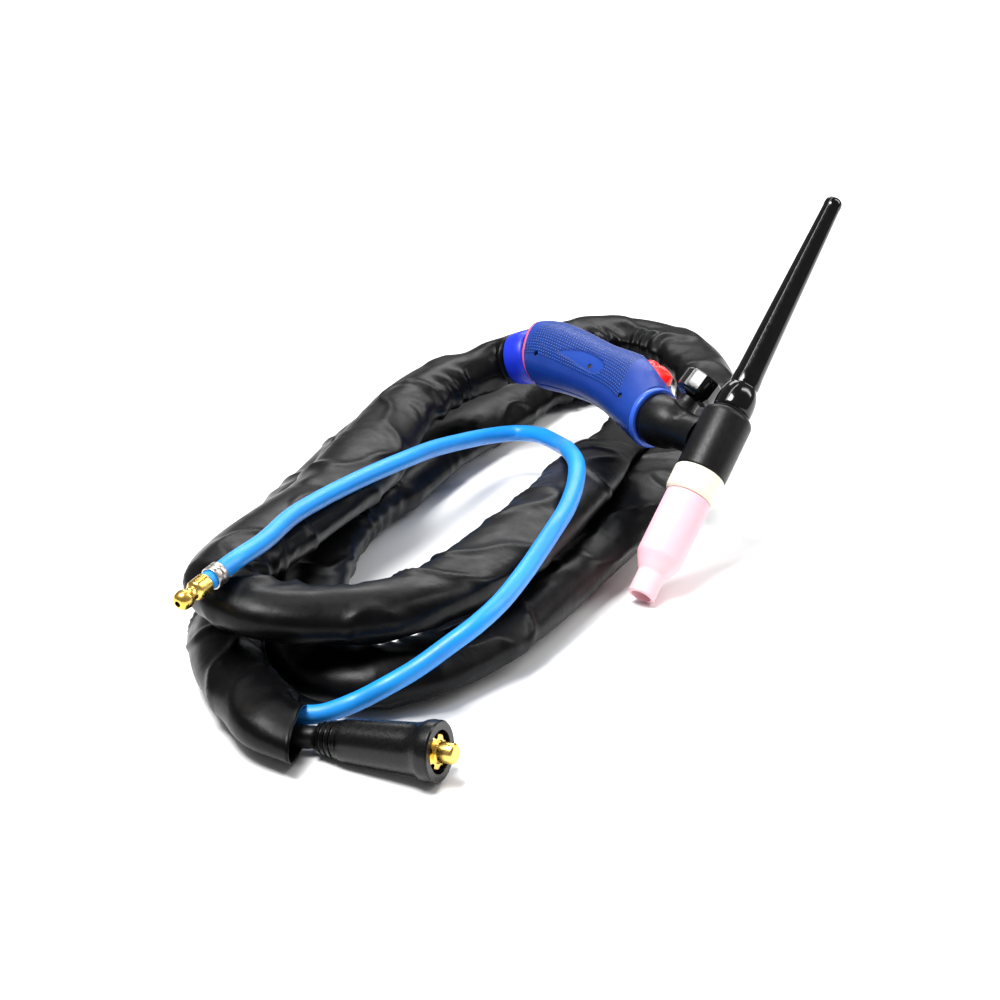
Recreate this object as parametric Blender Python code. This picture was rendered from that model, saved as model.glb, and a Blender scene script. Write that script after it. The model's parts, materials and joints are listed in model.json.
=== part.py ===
"""TIG welding torch with a hand valve, a rocker trigger, a sleeved cable set, a power plug and a gas hose.

Lengths in this file are millimetres and the helpers turn them into metres.
Torch frame: the origin is where the head's axis meets the neck's axis. CAP points along the back cap, REAR
points down the handle, TOP is the side of the handle that carries the trigger, RIGHT is its right-hand side.
World frame: +Z up, the floor at z = 0, the origin under the middle of the torch's own box.
"""

import math

import bmesh
import bpy
from mathutils import Matrix, Vector

MM = 0.001
GAP = 0.3                       # clearance kept between neighbouring solids

# ---- how the torch lies -------------------------------------------------------------------------------------
CAP = Vector((0.437, 0.634, 0.637)).normalized()
HANDLE_REAR = Vector((-0.573, 0.819, -0.036)).normalized()

# ---- head, nozzle and back cap ------------------------------------------------------------------------------
HEAD_RADIUS = 12.8
HEAD_TOP = 17.0
HEAD_BOTTOM = -17.6
CORE_RADIUS = 8.0
CORE_BORE = 5.2
GASKET_RADIUS = 13.0
GASKET_HEIGHT = 13.0
CUP_RADIUS = 11.5
CUP_LENGTH = 55.0
CUP_MOUTH_RADIUS = 6.8
ELECTRODE_RADIUS = 1.2
ELECTRODE_RECESS = 6.0
CAP_LENGTH = 130.0

# ---- neck and valve -----------------------------------------------------------------------------------------
TUBE_RADIUS = 5.0
TUBE_BORE = 3.0
RING_FRONT = 46.0               # from the head's axis to the handle's front lip
VALVE_AT = 34.0
KNOB_RADIUS = 8.75
KNOB_BOTTOM = 17.5
KNOB_HEIGHT = 12.0

# ---- handle -------------------------------------------------------------------------------------------------
WALL = 2.4
# distance behind the head axis, height of the section's centre, half height, half width, backward lean
HANDLE_SECTIONS = (
    (49.0, 0.0, 15.3, 15.0, 0.0),
    (55.0, 2.5, 16.5, 15.2, 0.0),
    (63.0, 6.0, 18.0, 15.5, 0.0),
    (73.0, 8.6, 18.3, 15.5, 0.0),
    (85.0, 10.0, 17.0, 15.0, 0.0),
    (99.0, 10.4, 16.0, 14.6, 0.0),
    (112.0, 10.6, 16.4, 15.2, 0.0),
    (126.0, 10.5, 17.2, 16.2, 0.06),
    (136.0, 10.0, 17.6, 16.8, 0.2),
    (144.0, 8.8, 17.2, 16.6, 0.38),
    (150.0, 7.4, 16.2, 15.8, 0.5),
)
SECTION_POWER = 2.3
TRIGGER_AT = 64.0
TRIGGER_LENGTH = 23.0
TRIGGER_WIDTH = 15.0
PIVOT_HEIGHT = 14.0
TRIGGER_CROWN = 14.1            # pivot to the trigger's top, before its lobes
BRACKET_FLOOR = 6.6             # top of the switch carrier's floor
SWITCH_TOP = 8.8
SCREW_AT = (62.0, 96.0, 136.0)
SCREW_HEIGHT = (-1.0, 7.0, 1.5)

# ---- knuckle ------------------------------------------------------------------------------------------------
BALL_AT = 151.3
BALL_HEIGHT = 6.8
BALL_RADIUS = 12.0
KNUCKLE_LEAN_DOWN = 0.62
KNUCKLE_LEAN_RIGHT = 0.1
COLLAR_RADIUS = 14.5
COLLAR_END = 15.4              # from the ball's centre

# ---- cables -------------------------------------------------------------------------------------------------
INNER_CABLE_RADIUS = 6.2
SHEATH_DIAMETER = 26.0
HOSE_DIAMETER = 8.5
CABLE_DIAMETER = 10.0
PLUG_RADIUS = 13.2
PLUG_FRONT = 56.7               # from the boot's mouth to the flange's front face
PIN_SHANK = 6.0
PIN_END = 64.0
SHEATH_POINTS = 72
HOSE_POINTS = 40

# The routes were laid with the head's axis standing here; build_cords moves them with the torch.
LAID_AT = Vector((20.6, -47.3, 0))
# Hand-laid route of the sleeve from the knuckle to its open end, millimetres.
SHEATH_ROUTE = (
    (-96, 84, 48), (-113, 74, 46), (-133, 43, 43), (-148, -12, 41), (-164, -59, 41), (-184, -103, 42),
    (-200, -138, 44), (-207, -162, 45), (-203, -180, 45.5), (-190, -192, 44), (-175, -194, 42),
    (-160, -192, 40), (-140, -187, 39), (-120, -174, 39), (-101, -153, 38.5), (-83, -124, 38.5),
    (-66, -91, 38), (-52, -57, 36.5), (-41, -22, 31), (-32, 12, 23), (-20, 46, 16), (-8, 84, 13.6),
    (-3, 118, 13.6), (-9, 148, 13.6), (-26, 165, 13.6), (-48, 160, 13.6), (-66, 141, 13.6),
    (-82, 116, 13.6), (-104, 78, 13.6), (-119, 52, 13.6), (-135, 18, 13.6), (-152, -18, 13.6),
    (-163, -50, 13.6), (-169, -86, 13.6), (-172, -118, 13.6), (-174, -145, 13.6), (-172, -170, 13.6),
    (-161, -191, 13.6), (-142, -198, 13.6), (-120, -190, 13.6), (-98, -167, 13.6), (-78, -137, 13.6),
    (-57, -102, 13.6), (-38, -66, 13.6), (-21, -29, 13.6), (-6, 8, 13.6), (11, 44, 13.6), (23, 82, 13.6),
    (32, 120, 13.6), (34, 152, 13.6), (30, 182, 13.6), (20, 207, 13.6), (3, 223, 13.6), (-18, 228, 13.6),
    (-40, 221, 13.6), (-65, 205, 13.6), (-90, 178, 13.6), (-115, 142, 13.6), (-138, 103, 13.6),
    (-158, 62, 13.6), (-175, 18, 13.6), (-190, -32, 13.6), (-201, -82, 13.6), (-207, -128, 13.6),
    (-208.5, -162, 13.6), (-204, -188, 13.6), (-196, -208, 13.6), (-188, -224, 13.6), (-180, -237, 13.6),
    (-168, -246, 13.6),
)
# Hand-laid route of the gas hose from the sleeve's mouth to its brass end.
HOSE_ROUTE = (
    (-160, -229.5, 12.5), (-146, -224, 15), (-132, -222, 22), (-119, -215, 27), (-106, -208, 34),
    (-94, -200, 40), (-83, -185, 44), (-73, -164, 47.5), (-65, -145, 51), (-58.5, -129, 54),
    (-53, -109, 54), (-48.5, -84, 54.5), (-47, -57, 54), (-50, -26, 48), (-52, 13, 34), (-62, 39, 29),
    (-75, 50, 26), (-90, 41, 28), (-104, 19, 34), (-118, -10, 42), (-131, -38, 48), (-144, -60, 51),
    (-156, -80, 53), (-168, -103, 55.5), (-179, -128, 58), (-188, -160, 61), (-198, -185, 63.5),
    (-209, -202, 61),
)
# The power cable's short bare stretch between the sleeve's mouth and the plug's boot.
CABLE_ROUTE = ((-162, -240.3, 7.5), (-159.3, -241.5, 7.9), (-154.8, -243.6, 8.5))

torch_objects = []


def clear_scene():
    for old in list(bpy.context.scene.objects):
        bpy.data.objects.remove(old, do_unlink=True)


def material(name, colour, roughness, metallic=0.0):
    made = bpy.data.materials.new(name)
    made.use_nodes = True
    shader = made.node_tree.nodes["Principled BSDF"]
    shader.inputs["Base Color"].default_value = (*colour, 1.0)
    shader.inputs["Roughness"].default_value = roughness
    shader.inputs["Metallic"].default_value = metallic
    return made


def frame(name, origin, z_axis, x_hint, parent=None):
    """An empty at origin whose Z runs along z_axis and whose X is x_hint squared up against it."""
    z = z_axis.normalized()
    x = (x_hint - x_hint.dot(z) * z).normalized()
    y = z.cross(x)
    empty = bpy.data.objects.new(name, None)
    bpy.context.scene.collection.objects.link(empty)
    empty.matrix_world = Matrix.Translation(origin * MM) @ Matrix((x, y, z)).transposed().to_4x4()
    if parent:
        empty.parent = parent
    return empty


def finish_mesh(name, bm, finish, parent, location=(0, 0, 0), sharp=35.0):
    """Turns a bmesh in millimetres into a named object in metres, smooth where it is round."""
    bmesh.ops.recalc_face_normals(bm, faces=bm.faces)
    if bm.calc_volume(signed=True) < 0:
        bmesh.ops.reverse_faces(bm, faces=bm.faces)
    bmesh.ops.scale(bm, vec=(MM, MM, MM), verts=bm.verts)
    mesh = bpy.data.meshes.new(name)
    bm.to_mesh(mesh)
    bm.free()
    mesh.shade_smooth()
    mesh.set_sharp_from_angle(angle=math.radians(sharp))
    made = bpy.data.objects.new(name, mesh)
    bpy.context.scene.collection.objects.link(made)
    made.data.materials.append(finish)
    made.parent = parent
    made.location = Vector(location) * MM
    torch_objects.append(made)
    return made


def add_turned(bm, profile, segments=32, centre=(0, 0, 0), axis="Z"):
    """Revolves a closed outline of (radius, height) points. A point of radius 0 becomes one vertex."""
    rings = []
    for radius, height in profile:
        count = segments if radius > 1e-6 else 1
        ring = []
        for i in range(count):
            turn = 2 * math.pi * i / segments
            flat = (radius * math.cos(turn), radius * math.sin(turn), height)
            if axis == "Y":
                flat = (flat[0], flat[2], -flat[1])
            if axis == "X":
                flat = (flat[2], flat[0], flat[1])
            ring.append(bm.verts.new(Vector(flat) + Vector(centre)))
        rings.append(ring)
    hollow = profile[0][0] > 1e-6
    pairs = list(zip(rings, rings[1:]))
    if hollow:
        pairs.append((rings[-1], rings[0]))
    for low, high in pairs:
        for i in range(segments):
            j = (i + 1) % segments
            corners = [low[i % len(low)], low[j % len(low)], high[j % len(high)], high[i % len(high)]]
            unique = list(dict.fromkeys(corners))
            if len(unique) > 2:
                bm.faces.new(unique)


def turned(name, profile, finish, parent, segments=24, location=(0, 0, 0)):
    bm = bmesh.new()
    add_turned(bm, profile, segments)
    return finish_mesh(name, bm, finish, parent, location)


def tube_profile(outer, inner, low, high, edge=0.4):
    """Outline of a plain ring or tube with small bevels on its outer edges."""
    return ((inner, low), (outer - edge, low), (outer, low + edge), (outer, high - edge),
            (outer - edge, high), (inner, high))


def rod_profile(radius, low, high, edge=0.3):
    return ((0, low), (radius - edge, low), (radius, low + edge), (radius, high - edge),
            (radius - edge, high), (0, high))


def add_box(bm, low, high):
    made = bmesh.ops.create_cube(bm, size=1.0)["verts"]
    size = [b - a for a, b in zip(low, high)]
    middle = [(a + b) / 2 for a, b in zip(low, high)]
    bmesh.ops.scale(bm, vec=size, verts=made)
    bmesh.ops.translate(bm, vec=middle, verts=made)


def loft(bm, rings):
    """Skins a stack of equal-length closed rings and closes both ends with a fan."""
    rows = [[bm.verts.new(point) for point in ring] for ring in rings]
    count = len(rows[0])
    for low, high in zip(rows, rows[1:]):
        for i in range(count):
            j = (i + 1) % count
            bm.faces.new((low[i], low[j], high[j], high[i]))
    for row in (rows[0], rows[-1]):
        middle = sum((vert.co for vert in row), Vector()) / count
        centre = bm.verts.new(middle)
        for i in range(count):
            bm.faces.new((row[i], row[(i + 1) % count], centre))


def cut(target, cutter):
    """Subtracts a helper solid, which stays hidden from the finished model."""
    cutter.hide_render = True
    cutter.display_type = "WIRE"
    torch_objects.remove(cutter)
    modifier = target.modifiers.new("cut", "BOOLEAN")
    modifier.operation = "DIFFERENCE"
    modifier.solver = "EXACT"
    modifier.object = cutter


# ---- head ---------------------------------------------------------------------------------------------------
def build_head(head, neck, finishes):
    jacket = turned("head_jacket", (
        (CORE_RADIUS + GAP, HEAD_BOTTOM), (HEAD_RADIUS - 0.6, HEAD_BOTTOM), (HEAD_RADIUS, HEAD_BOTTOM + 0.6),
        (HEAD_RADIUS, HEAD_TOP - 2.4), (HEAD_RADIUS - 0.8, HEAD_TOP - 0.8), (HEAD_RADIUS - 2.6, HEAD_TOP),
        (CORE_RADIUS + GAP, HEAD_TOP)), finishes["rubber"], head, 32)
    bore = turned("neck_bore_cutter", rod_profile(TUBE_RADIUS + GAP, CORE_RADIUS - 3, HEAD_RADIUS + 6, 0.01),
                  finishes["rubber"], neck, 24)
    cut(jacket, bore)
    turned("head_core", tube_profile(CORE_RADIUS, CORE_BORE, HEAD_BOTTOM + 0.5, HEAD_TOP - 0.5),
           finishes["brass"], head)
    gasket_top = HEAD_BOTTOM - GAP
    gasket_low = gasket_top - GASKET_HEIGHT
    turned("cup_gasket", (
        (CORE_BORE, gasket_top), (CORE_BORE, gasket_low), (CUP_RADIUS, gasket_low),
        (GASKET_RADIUS - 0.7, gasket_low + 1.2), (GASKET_RADIUS, gasket_low + 3.0),
        (GASKET_RADIUS, gasket_top - 0.5), (GASKET_RADIUS - 0.4, gasket_top)), finishes["ivory"], head, 28)
    cup_top = gasket_low - GAP
    tip = cup_top - CUP_LENGTH
    wall = 1.8
    turned("nozzle_cup", (
        (CORE_BORE, cup_top), (CUP_RADIUS - 0.4, cup_top), (CUP_RADIUS, cup_top - 0.6),
        (CUP_RADIUS, tip + 21.0), (CUP_RADIUS - 1.2, tip + 18.4), (CUP_MOUTH_RADIUS + 0.9, tip + 13.2),
        (CUP_MOUTH_RADIUS, tip + 11.4), (CUP_MOUTH_RADIUS, tip + 0.4), (CUP_MOUTH_RADIUS - 0.4, tip),
        (CUP_MOUTH_RADIUS - wall, tip), (CUP_MOUTH_RADIUS - wall, tip + 12.0),
        (CUP_RADIUS - 2.6, tip + 20.0), (CUP_RADIUS - 2.6, cup_top - 8.0), (CORE_BORE, cup_top - 5.0)),
        finishes["alumina"], head, 28)
    turned("collet_body", (
        (2.6, HEAD_TOP - 8), (CORE_BORE - GAP, HEAD_TOP - 8), (CORE_BORE - GAP, cup_top - 10.0),
        (4.0, cup_top - 12.0), (4.0, cup_top - 26.0), (3.2, cup_top - 27.0), (2.6, cup_top - 27.0)),
        finishes["copper"], head, 24)
    turned("collet", tube_profile(2.6 - GAP, ELECTRODE_RADIUS + 0.25, cup_top - 26.0, HEAD_TOP + 2.0, 0.2),
           finishes["copper"], head, 20)
    turned("tungsten_electrode", (
        (0, tip + ELECTRODE_RECESS), (ELECTRODE_RADIUS, tip + ELECTRODE_RECESS + 4.5),
        (ELECTRODE_RADIUS, HEAD_TOP + 92.0), (0, HEAD_TOP + 92.0)), finishes["tungsten"], head, 16)
    cap_low = HEAD_TOP + 1.9
    turned("back_cap", (
        (0, cap_low + CAP_LENGTH - 8.0), (2.0, cap_low + CAP_LENGTH - 12.0), (2.7, cap_low + 60.0),
        (2.7, cap_low), (9.2, cap_low), (9.85, cap_low + 1.0), (9.85, cap_low + 5.0), (9.3, cap_low + 9.5),
        (8.3, cap_low + 12.6), (7.4, cap_low + 14.2), (7.5, cap_low + 17.0), (7.2, cap_low + 22.0),
        (4.5, cap_low + CAP_LENGTH - 6.0), (4.6, cap_low + CAP_LENGTH - 4.6),
        (4.35, cap_low + CAP_LENGTH - 1.6), (3.0, cap_low + CAP_LENGTH - 0.2), (0, cap_low + CAP_LENGTH)),
        finishes["phenolic"], head, 24)
    turned("back_cap_o_ring", ring_profile(8.9, 0.75, HEAD_TOP + 1.0), finishes["rubber"], head, 24)


def ring_profile(radius, thickness, height):
    """Round section of an O-ring."""
    return tuple((radius + thickness * math.cos(math.radians(a)), height + thickness * math.sin(math.radians(a)))
                 for a in range(0, 360, 60))


# ---- neck and valve -----------------------------------------------------------------------------------------
def build_neck(head, neck, valve, finishes):
    turned("neck_tube", tube_profile(TUBE_RADIUS, TUBE_BORE, CORE_RADIUS + 1.9, 57.5), finishes["brass"], neck, 24)
    bore = TUBE_RADIUS + GAP
    jacket = turned("neck_jacket", (
        (bore, HEAD_RADIUS - 2.0), (9.6, HEAD_RADIUS - 2.0), (9.9, HEAD_RADIUS + 3.4), (10.0, 25.0),
        (10.6, 31.0), (11.6, 36.0), (12.4, 41.0), (12.2, 47.5), (11.2, 51.5), (bore, 51.5)),
        finishes["rubber"], neck, 32)
    cut(jacket, turned("saddle_cutter", rod_profile(HEAD_RADIUS + GAP, HEAD_BOTTOM - 4, HEAD_TOP + 4, 0.01),
                       finishes["rubber"], head, 32))
    cut(jacket, turned("valve_seat_cutter", ((0, TUBE_RADIUS - 1), (2.4, TUBE_RADIUS - 1), (2.4, 11.3), (5.7, 11.3),
                                             (5.7, 20.0), (0, 20.0)), finishes["rubber"], valve, 24))
    turned("valve_body", tube_profile(5.4, 2.4, 11.6, 16.2), finishes["rubber"], valve, 24)
    turned("valve_stem", rod_profile(2.1, TUBE_RADIUS + 0.6, KNOB_BOTTOM + 7.0), finishes["brass"], valve, 16)
    turned("valve_o_ring", ring_profile(3.6, 0.5, 16.2 + 0.5 + GAP / 2), finishes["rubber"], valve, 16)
    build_knob(valve, finishes)
    turned("knob_screw", (
        (0, KNOB_BOTTOM + KNOB_HEIGHT - 2.0), (2.2, KNOB_BOTTOM + KNOB_HEIGHT - 2.0),
        (2.2, KNOB_BOTTOM + KNOB_HEIGHT - 0.4), (1.8, KNOB_BOTTOM + KNOB_HEIGHT), (0, KNOB_BOTTOM + KNOB_HEIGHT)),
        finishes["steel"], valve, 16)


def build_knob(valve, finishes):
    """Fluted knob: a ring of eight lobes, with a bore for the stem and a recess for its screw."""
    count = 32
    bm = bmesh.new()
    rings = []
    top = KNOB_BOTTOM + KNOB_HEIGHT
    for scale, height in ((0.9, KNOB_BOTTOM), (1.0, KNOB_BOTTOM + 0.9), (1.0, top - 0.9), (0.92, top)):
        ring = []
        for i in range(count):
            turn = 2 * math.pi * i / count
            radius = scale * (KNOB_RADIUS - 0.55 + 0.55 * math.cos(8 * turn))
            ring.append(Vector((radius * math.cos(turn), radius * math.sin(turn), height)))
        rings.append(ring)
    loft(bm, rings)
    knob = finish_mesh("valve_knob", bm, finishes["phenolic"], valve)
    bm = bmesh.new()
    add_turned(bm, rod_profile(2.1 + GAP, KNOB_BOTTOM - 1, KNOB_BOTTOM + 7.0 + GAP, 0.01), 20)
    add_turned(bm, rod_profile(2.2 + GAP, top - 2.0 - GAP, top + 1, 0.01), 20)
    cut(knob, finish_mesh("knob_cutter", bm, finishes["phenolic"], valve))


# ---- handle -------------------------------------------------------------------------------------------------
def section_point(section, turn, inset):
    """A point of the handle's rounded section; turn 0 is the right or left side, 90 degrees is the top."""
    _, centre, half_height, half_width, _ = section
    c = math.cos(turn)
    s = math.sin(turn)
    power = 2 / SECTION_POWER
    across = (half_width - inset) * abs(c) ** power
    up = centre + (half_height - inset) * math.copysign(abs(s) ** power, s)
    return across, up


def smooth_sections(steps=1):
    """Catmull-Rom sections between the hand-set ones."""
    result = []
    table = HANDLE_SECTIONS
    for i in range(len(table) - 1):
        a = table[max(i - 1, 0)]
        b = table[i]
        c = table[i + 1]
        d = table[min(i + 2, len(table) - 1)]
        for k in range(steps):
            result.append(catmull(a, b, c, d, k / steps))
    result.append(table[-1])
    return result


def catmull(a, b, c, d, t):
    return tuple(0.5 * (2 * q + (r - p) * t + (2 * p - 5 * q + 4 * r - s) * t * t
                        + (3 * q - p - 3 * r + s) * t ** 3) for p, q, r, s in zip(a, b, c, d))


def half_shell(name, side, finish, grip):
    """One moulded half of the handle: side is -1 for the right half and +1 for the left half."""
    bm = bmesh.new()
    steps = 12
    rows = []
    for section in smooth_sections():
        outer = []
        inner = []
        for i in range(steps + 1):
            turn = math.radians(-90 + 180 * i / steps)
            for inset, row in ((0.0, outer), (WALL, inner)):
                across, up = section_point(section, turn, inset)
                across = max(across, 0.0) + GAP / 2
                row.append(bm.verts.new((up, side * across, section[0] + section[4] * (up - section[1]))))
        rows.append((outer, inner))
    for (outer_a, inner_a), (outer_b, inner_b) in zip(rows, rows[1:]):
        for i in range(steps):
            bm.faces.new((outer_a[i], outer_a[i + 1], outer_b[i + 1], outer_b[i]))
            bm.faces.new((inner_a[i + 1], inner_a[i], inner_b[i], inner_b[i + 1]))
        for i in (0, steps):
            bm.faces.new((outer_a[i], outer_b[i], inner_b[i], inner_a[i]))
    for outer, inner in (rows[0], rows[-1]):
        for i in range(steps):
            bm.faces.new((outer[i], outer[i + 1], inner[i + 1], inner[i]))
    return finish_mesh(name, bm, finish, grip)


def build_handle(grip, finishes):
    right = half_shell("handle_shell_right", -1, finishes["blue"], grip)
    left = half_shell("handle_shell_left", 1, finishes["blue"], grip)
    bm = bmesh.new()
    half = TRIGGER_LENGTH / 2 + 1.0
    add_box(bm, (14, -TRIGGER_WIDTH / 2 - 0.6, TRIGGER_AT - half), (40, TRIGGER_WIDTH / 2 + 0.6, TRIGGER_AT + half))
    slot = finish_mesh("trigger_slot_cutter", bm, finishes["blue"], grip)
    bm = bmesh.new()
    for at, height in zip(SCREW_AT, SCREW_HEIGHT):
        add_turned(bm, rod_profile(2.6, -24, -6, 0.01), 16, (height, 0, at), "Y")
    holes = finish_mesh("screw_hole_cutter", bm, finishes["blue"], grip)
    cut(right, slot)
    cut(right, holes)
    left_cut = left.modifiers.new("cut", "BOOLEAN")
    left_cut.operation = "DIFFERENCE"
    left_cut.solver = "EXACT"
    left_cut.object = slot
    build_screws(grip, finishes)
    turned("front_ring", (
        (13.0, RING_FRONT), (14.6, RING_FRONT), (15.5, RING_FRONT + 0.9), (15.5, 48.6), (13.0, 48.6)),
        finishes["light_blue"], grip, 32)


def build_screws(grip, finishes):
    """Three screws enter from the right half and end in brass inserts behind the left half."""
    for number, (at, height) in enumerate(zip(SCREW_AT, SCREW_HEIGHT), 1):
        bm = bmesh.new()
        add_turned(bm, ((0, -13.6), (2.2, -13.6), (2.2, -11.6), (1.4, -11.6), (1.4, 9.0), (0, 9.0)), 16,
                   (height, 0, at), "Y")
        finish_mesh(f"handle_screw_{number}", bm, finishes["steel"], grip)
        bm = bmesh.new()
        add_turned(bm, tube_profile(3.2, 1.4 + GAP, 2.0, 9.2, 0.2), 16, (height, 0, at), "Y")
        finish_mesh(f"screw_insert_{number}", bm, finishes["brass"], grip)


# ---- trigger ------------------------------------------------------------------------------------------------
def build_trigger(pivot, grip, finishes):
    bm = bmesh.new()
    rings = []
    for share in (-1.0, -0.94, -0.8, -0.6, -0.35, 0.0, 0.35, 0.6, 0.8, 0.94, 1.0):
        along = share * TRIGGER_LENGTH / 2
        lobe = 2.4 * math.cos(math.pi * abs(share) / 1.1 - math.pi * 0.55)
        crown = TRIGGER_CROWN + lobe - 2.4 * share * share
        half = TRIGGER_WIDTH / 2 * math.sqrt(max(1 - (share * 0.93) ** 2, 0.08))
        ring = []
        for turn in range(0, 360, 30):
            c = math.cos(math.radians(turn))
            s = math.sin(math.radians(turn))
            up = (crown if s > 0 else 3.0) * math.copysign(abs(s) ** 0.62, s)
            ring.append(Vector((up + 0.5, half * math.copysign(abs(c) ** 0.62, c), along)))
        rings.append(ring)
    loft(bm, rings)
    rocker = finish_mesh("trigger_rocker", bm, finishes["red"], pivot)
    bm = bmesh.new()
    add_turned(bm, rod_profile(1.5 + GAP, -12, 12, 0.01), 16, (0, 0, 0), "Y")
    cut(rocker, finish_mesh("trigger_bore_cutter", bm, finishes["red"], pivot))
    bm = bmesh.new()
    add_turned(bm, rod_profile(1.5, -9.0, 9.0, 0.2), 16, (PIVOT_HEIGHT, 0, TRIGGER_AT), "Y")
    finish_mesh("trigger_pin", bm, finishes["steel"], grip)
    build_bracket(grip, finishes)
    build_spring(grip, finishes)


def build_bracket(grip, finishes):
    """U-shaped carrier for the pivot pin, cut low before and behind the pin, with the micro switch on its floor."""
    top = PIVOT_HEIGHT + 2.3
    low = BRACKET_FLOOR - 1.2
    bm = bmesh.new()
    outline = ((-9.1, top), (-9.1, low), (9.1, low), (9.1, top),
               (7.9, top), (7.9, BRACKET_FLOOR), (-7.9, BRACKET_FLOOR), (-7.9, top))
    rows = [[bm.verts.new((up, across, at)) for across, up in outline]
            for at in (TRIGGER_AT - 11.0, TRIGGER_AT + 11.0)]
    count = len(outline)
    for i in range(count):
        j = (i + 1) % count
        bm.faces.new((rows[0][i], rows[0][j], rows[1][j], rows[1][i]))
    for row in rows:
        bm.faces.new(row)
    bracket = finish_mesh("switch_bracket", bm, finishes["nylon"], grip)
    bm = bmesh.new()
    add_turned(bm, rod_profile(1.5 + GAP, -13, 13, 0.01), 16, (PIVOT_HEIGHT, 0, TRIGGER_AT), "Y")
    cut(bracket, finish_mesh("pin_bore_cutter", bm, finishes["nylon"], grip))
    bm = bmesh.new()
    add_box(bm, (10.5, -12, TRIGGER_AT - 12), (20, 12, TRIGGER_AT - 2.4))
    add_box(bm, (10.5, -12, TRIGGER_AT + 2.4), (20, 12, TRIGGER_AT + 12))
    cut(bracket, finish_mesh("cheek_cutter", bm, finishes["nylon"], grip))
    bm = bmesh.new()
    add_box(bm, (BRACKET_FLOOR + GAP, -3.2, TRIGGER_AT - 10.5), (SWITCH_TOP, 3.2, TRIGGER_AT + 2.0))
    finish_mesh("micro_switch", bm, finishes["nylon"], grip)


def build_spring(grip, finishes):
    """Return spring under the rocker's rear lobe: one closed helix of round wire."""
    bm = bmesh.new()
    turns = 2.5
    steps = 24
    radius = 1.9
    wire = 0.32
    low = BRACKET_FLOOR + GAP + wire
    high = PIVOT_HEIGHT - 3.6 - wire
    rings = []
    for i in range(steps + 1):
        share = i / steps
        angle = 2 * math.pi * turns * share
        centre = Vector((low + (high - low) * share, radius * math.cos(angle), radius * math.sin(angle)))
        outward = Vector((0, math.cos(angle), math.sin(angle)))
        along = Vector(((high - low) / (2 * math.pi * turns), -radius * math.sin(angle), radius * math.cos(angle)))
        along.normalize()
        side = along.cross(outward)
        ring = []
        for k in range(5):
            turn = 2 * math.pi * k / 5
            ring.append(centre + wire * (math.cos(turn) * outward + math.sin(turn) * side))
        rings.append(ring)
    loft(bm, rings)
    finish_mesh("trigger_spring", bm, finishes["steel"], grip, (0, 0, TRIGGER_AT + 7.5))


def build_plunger(mount, finishes):
    turned("switch_plunger", rod_profile(1.2, 0.0, 1.2, 0.2), finishes["red"], mount, 16)


# ---- knuckle ------------------------------------------------------------------------------------------------
def build_knuckle(grip, knuckle, finishes):
    section = HANDLE_SECTIONS[-1]
    bm = bmesh.new()
    rows = []
    end = section[0] + GAP
    for inset, at in ((0.6, end), (0.6, end + 2.3), (3.4, end + 2.3), (3.4, end)):
        ring = []
        for i in range(32):
            turn = 2 * math.pi * i / 32
            across, up = section_point(section, turn, inset)
            along = at + section[4] * (up - section[1])
            ring.append(bm.verts.new((up, math.copysign(across, math.cos(turn)), along)))
        rows.append(ring)
    for low, high in zip(rows, rows[1:] + rows[:1]):
        for i in range(32):
            j = (i + 1) % 32
            bm.faces.new((low[i], low[j], high[j], high[i]))
    finish_mesh("accent_ring", bm, finishes["coral"], grip)
    ball = [(BALL_RADIUS * math.cos(math.radians(a)), BALL_RADIUS * math.sin(math.radians(a)))
            for a in range(-54, 55, 18)]
    bore = INNER_CABLE_RADIUS + GAP
    turned("knuckle_ball", ((bore, ball[0][1]), *ball, (bore, ball[-1][1])), finishes["nylon"], knuckle, 24)
    turned("knuckle_collar", (
        (12.3, 3.8), (COLLAR_RADIUS - 1.3, 3.6), (COLLAR_RADIUS - 0.4, 4.6), (COLLAR_RADIUS, 6.2),
        (COLLAR_RADIUS - 0.3, COLLAR_END - 3.8), (COLLAR_RADIUS - 1.1, COLLAR_END), (11.8, COLLAR_END),
        (11.2, 9.0)), finishes["royal_blue"], knuckle, 28)
    turned("inner_cable", rod_profile(INNER_CABLE_RADIUS, -16.0, COLLAR_END - 0.4), finishes["rubber"], knuckle, 20)
    turned("cable_ferrule", tube_profile(8.2, bore, 10.0, COLLAR_END - 0.4), finishes["brass"], knuckle, 24)


# ---- cables -------------------------------------------------------------------------------------------------
def smooth_route(points, count):
    """Reads count evenly spaced points from a Catmull-Rom curve through the route's own points."""
    table = [tuple(point) for point in points]
    dense = []
    for i in range(len(table) - 1):
        a = table[max(i - 1, 0)]
        d = table[min(i + 2, len(table) - 1)]
        for k in range(24):
            dense.append(Vector(catmull(a, table[i], table[i + 1], d, k / 24)))
    dense.append(Vector(table[-1]))
    lengths = [0.0]
    for p, q in zip(dense, dense[1:]):
        lengths.append(lengths[-1] + (q - p).length)
    result = []
    at = 0
    for i in range(count):
        wanted = lengths[-1] * i / (count - 1)
        while at < len(lengths) - 2 and lengths[at + 1] < wanted:
            at += 1
        share = (wanted - lengths[at]) / (lengths[at + 1] - lengths[at])
        result.append(dense[at].lerp(dense[at + 1], share))
    return result


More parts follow.
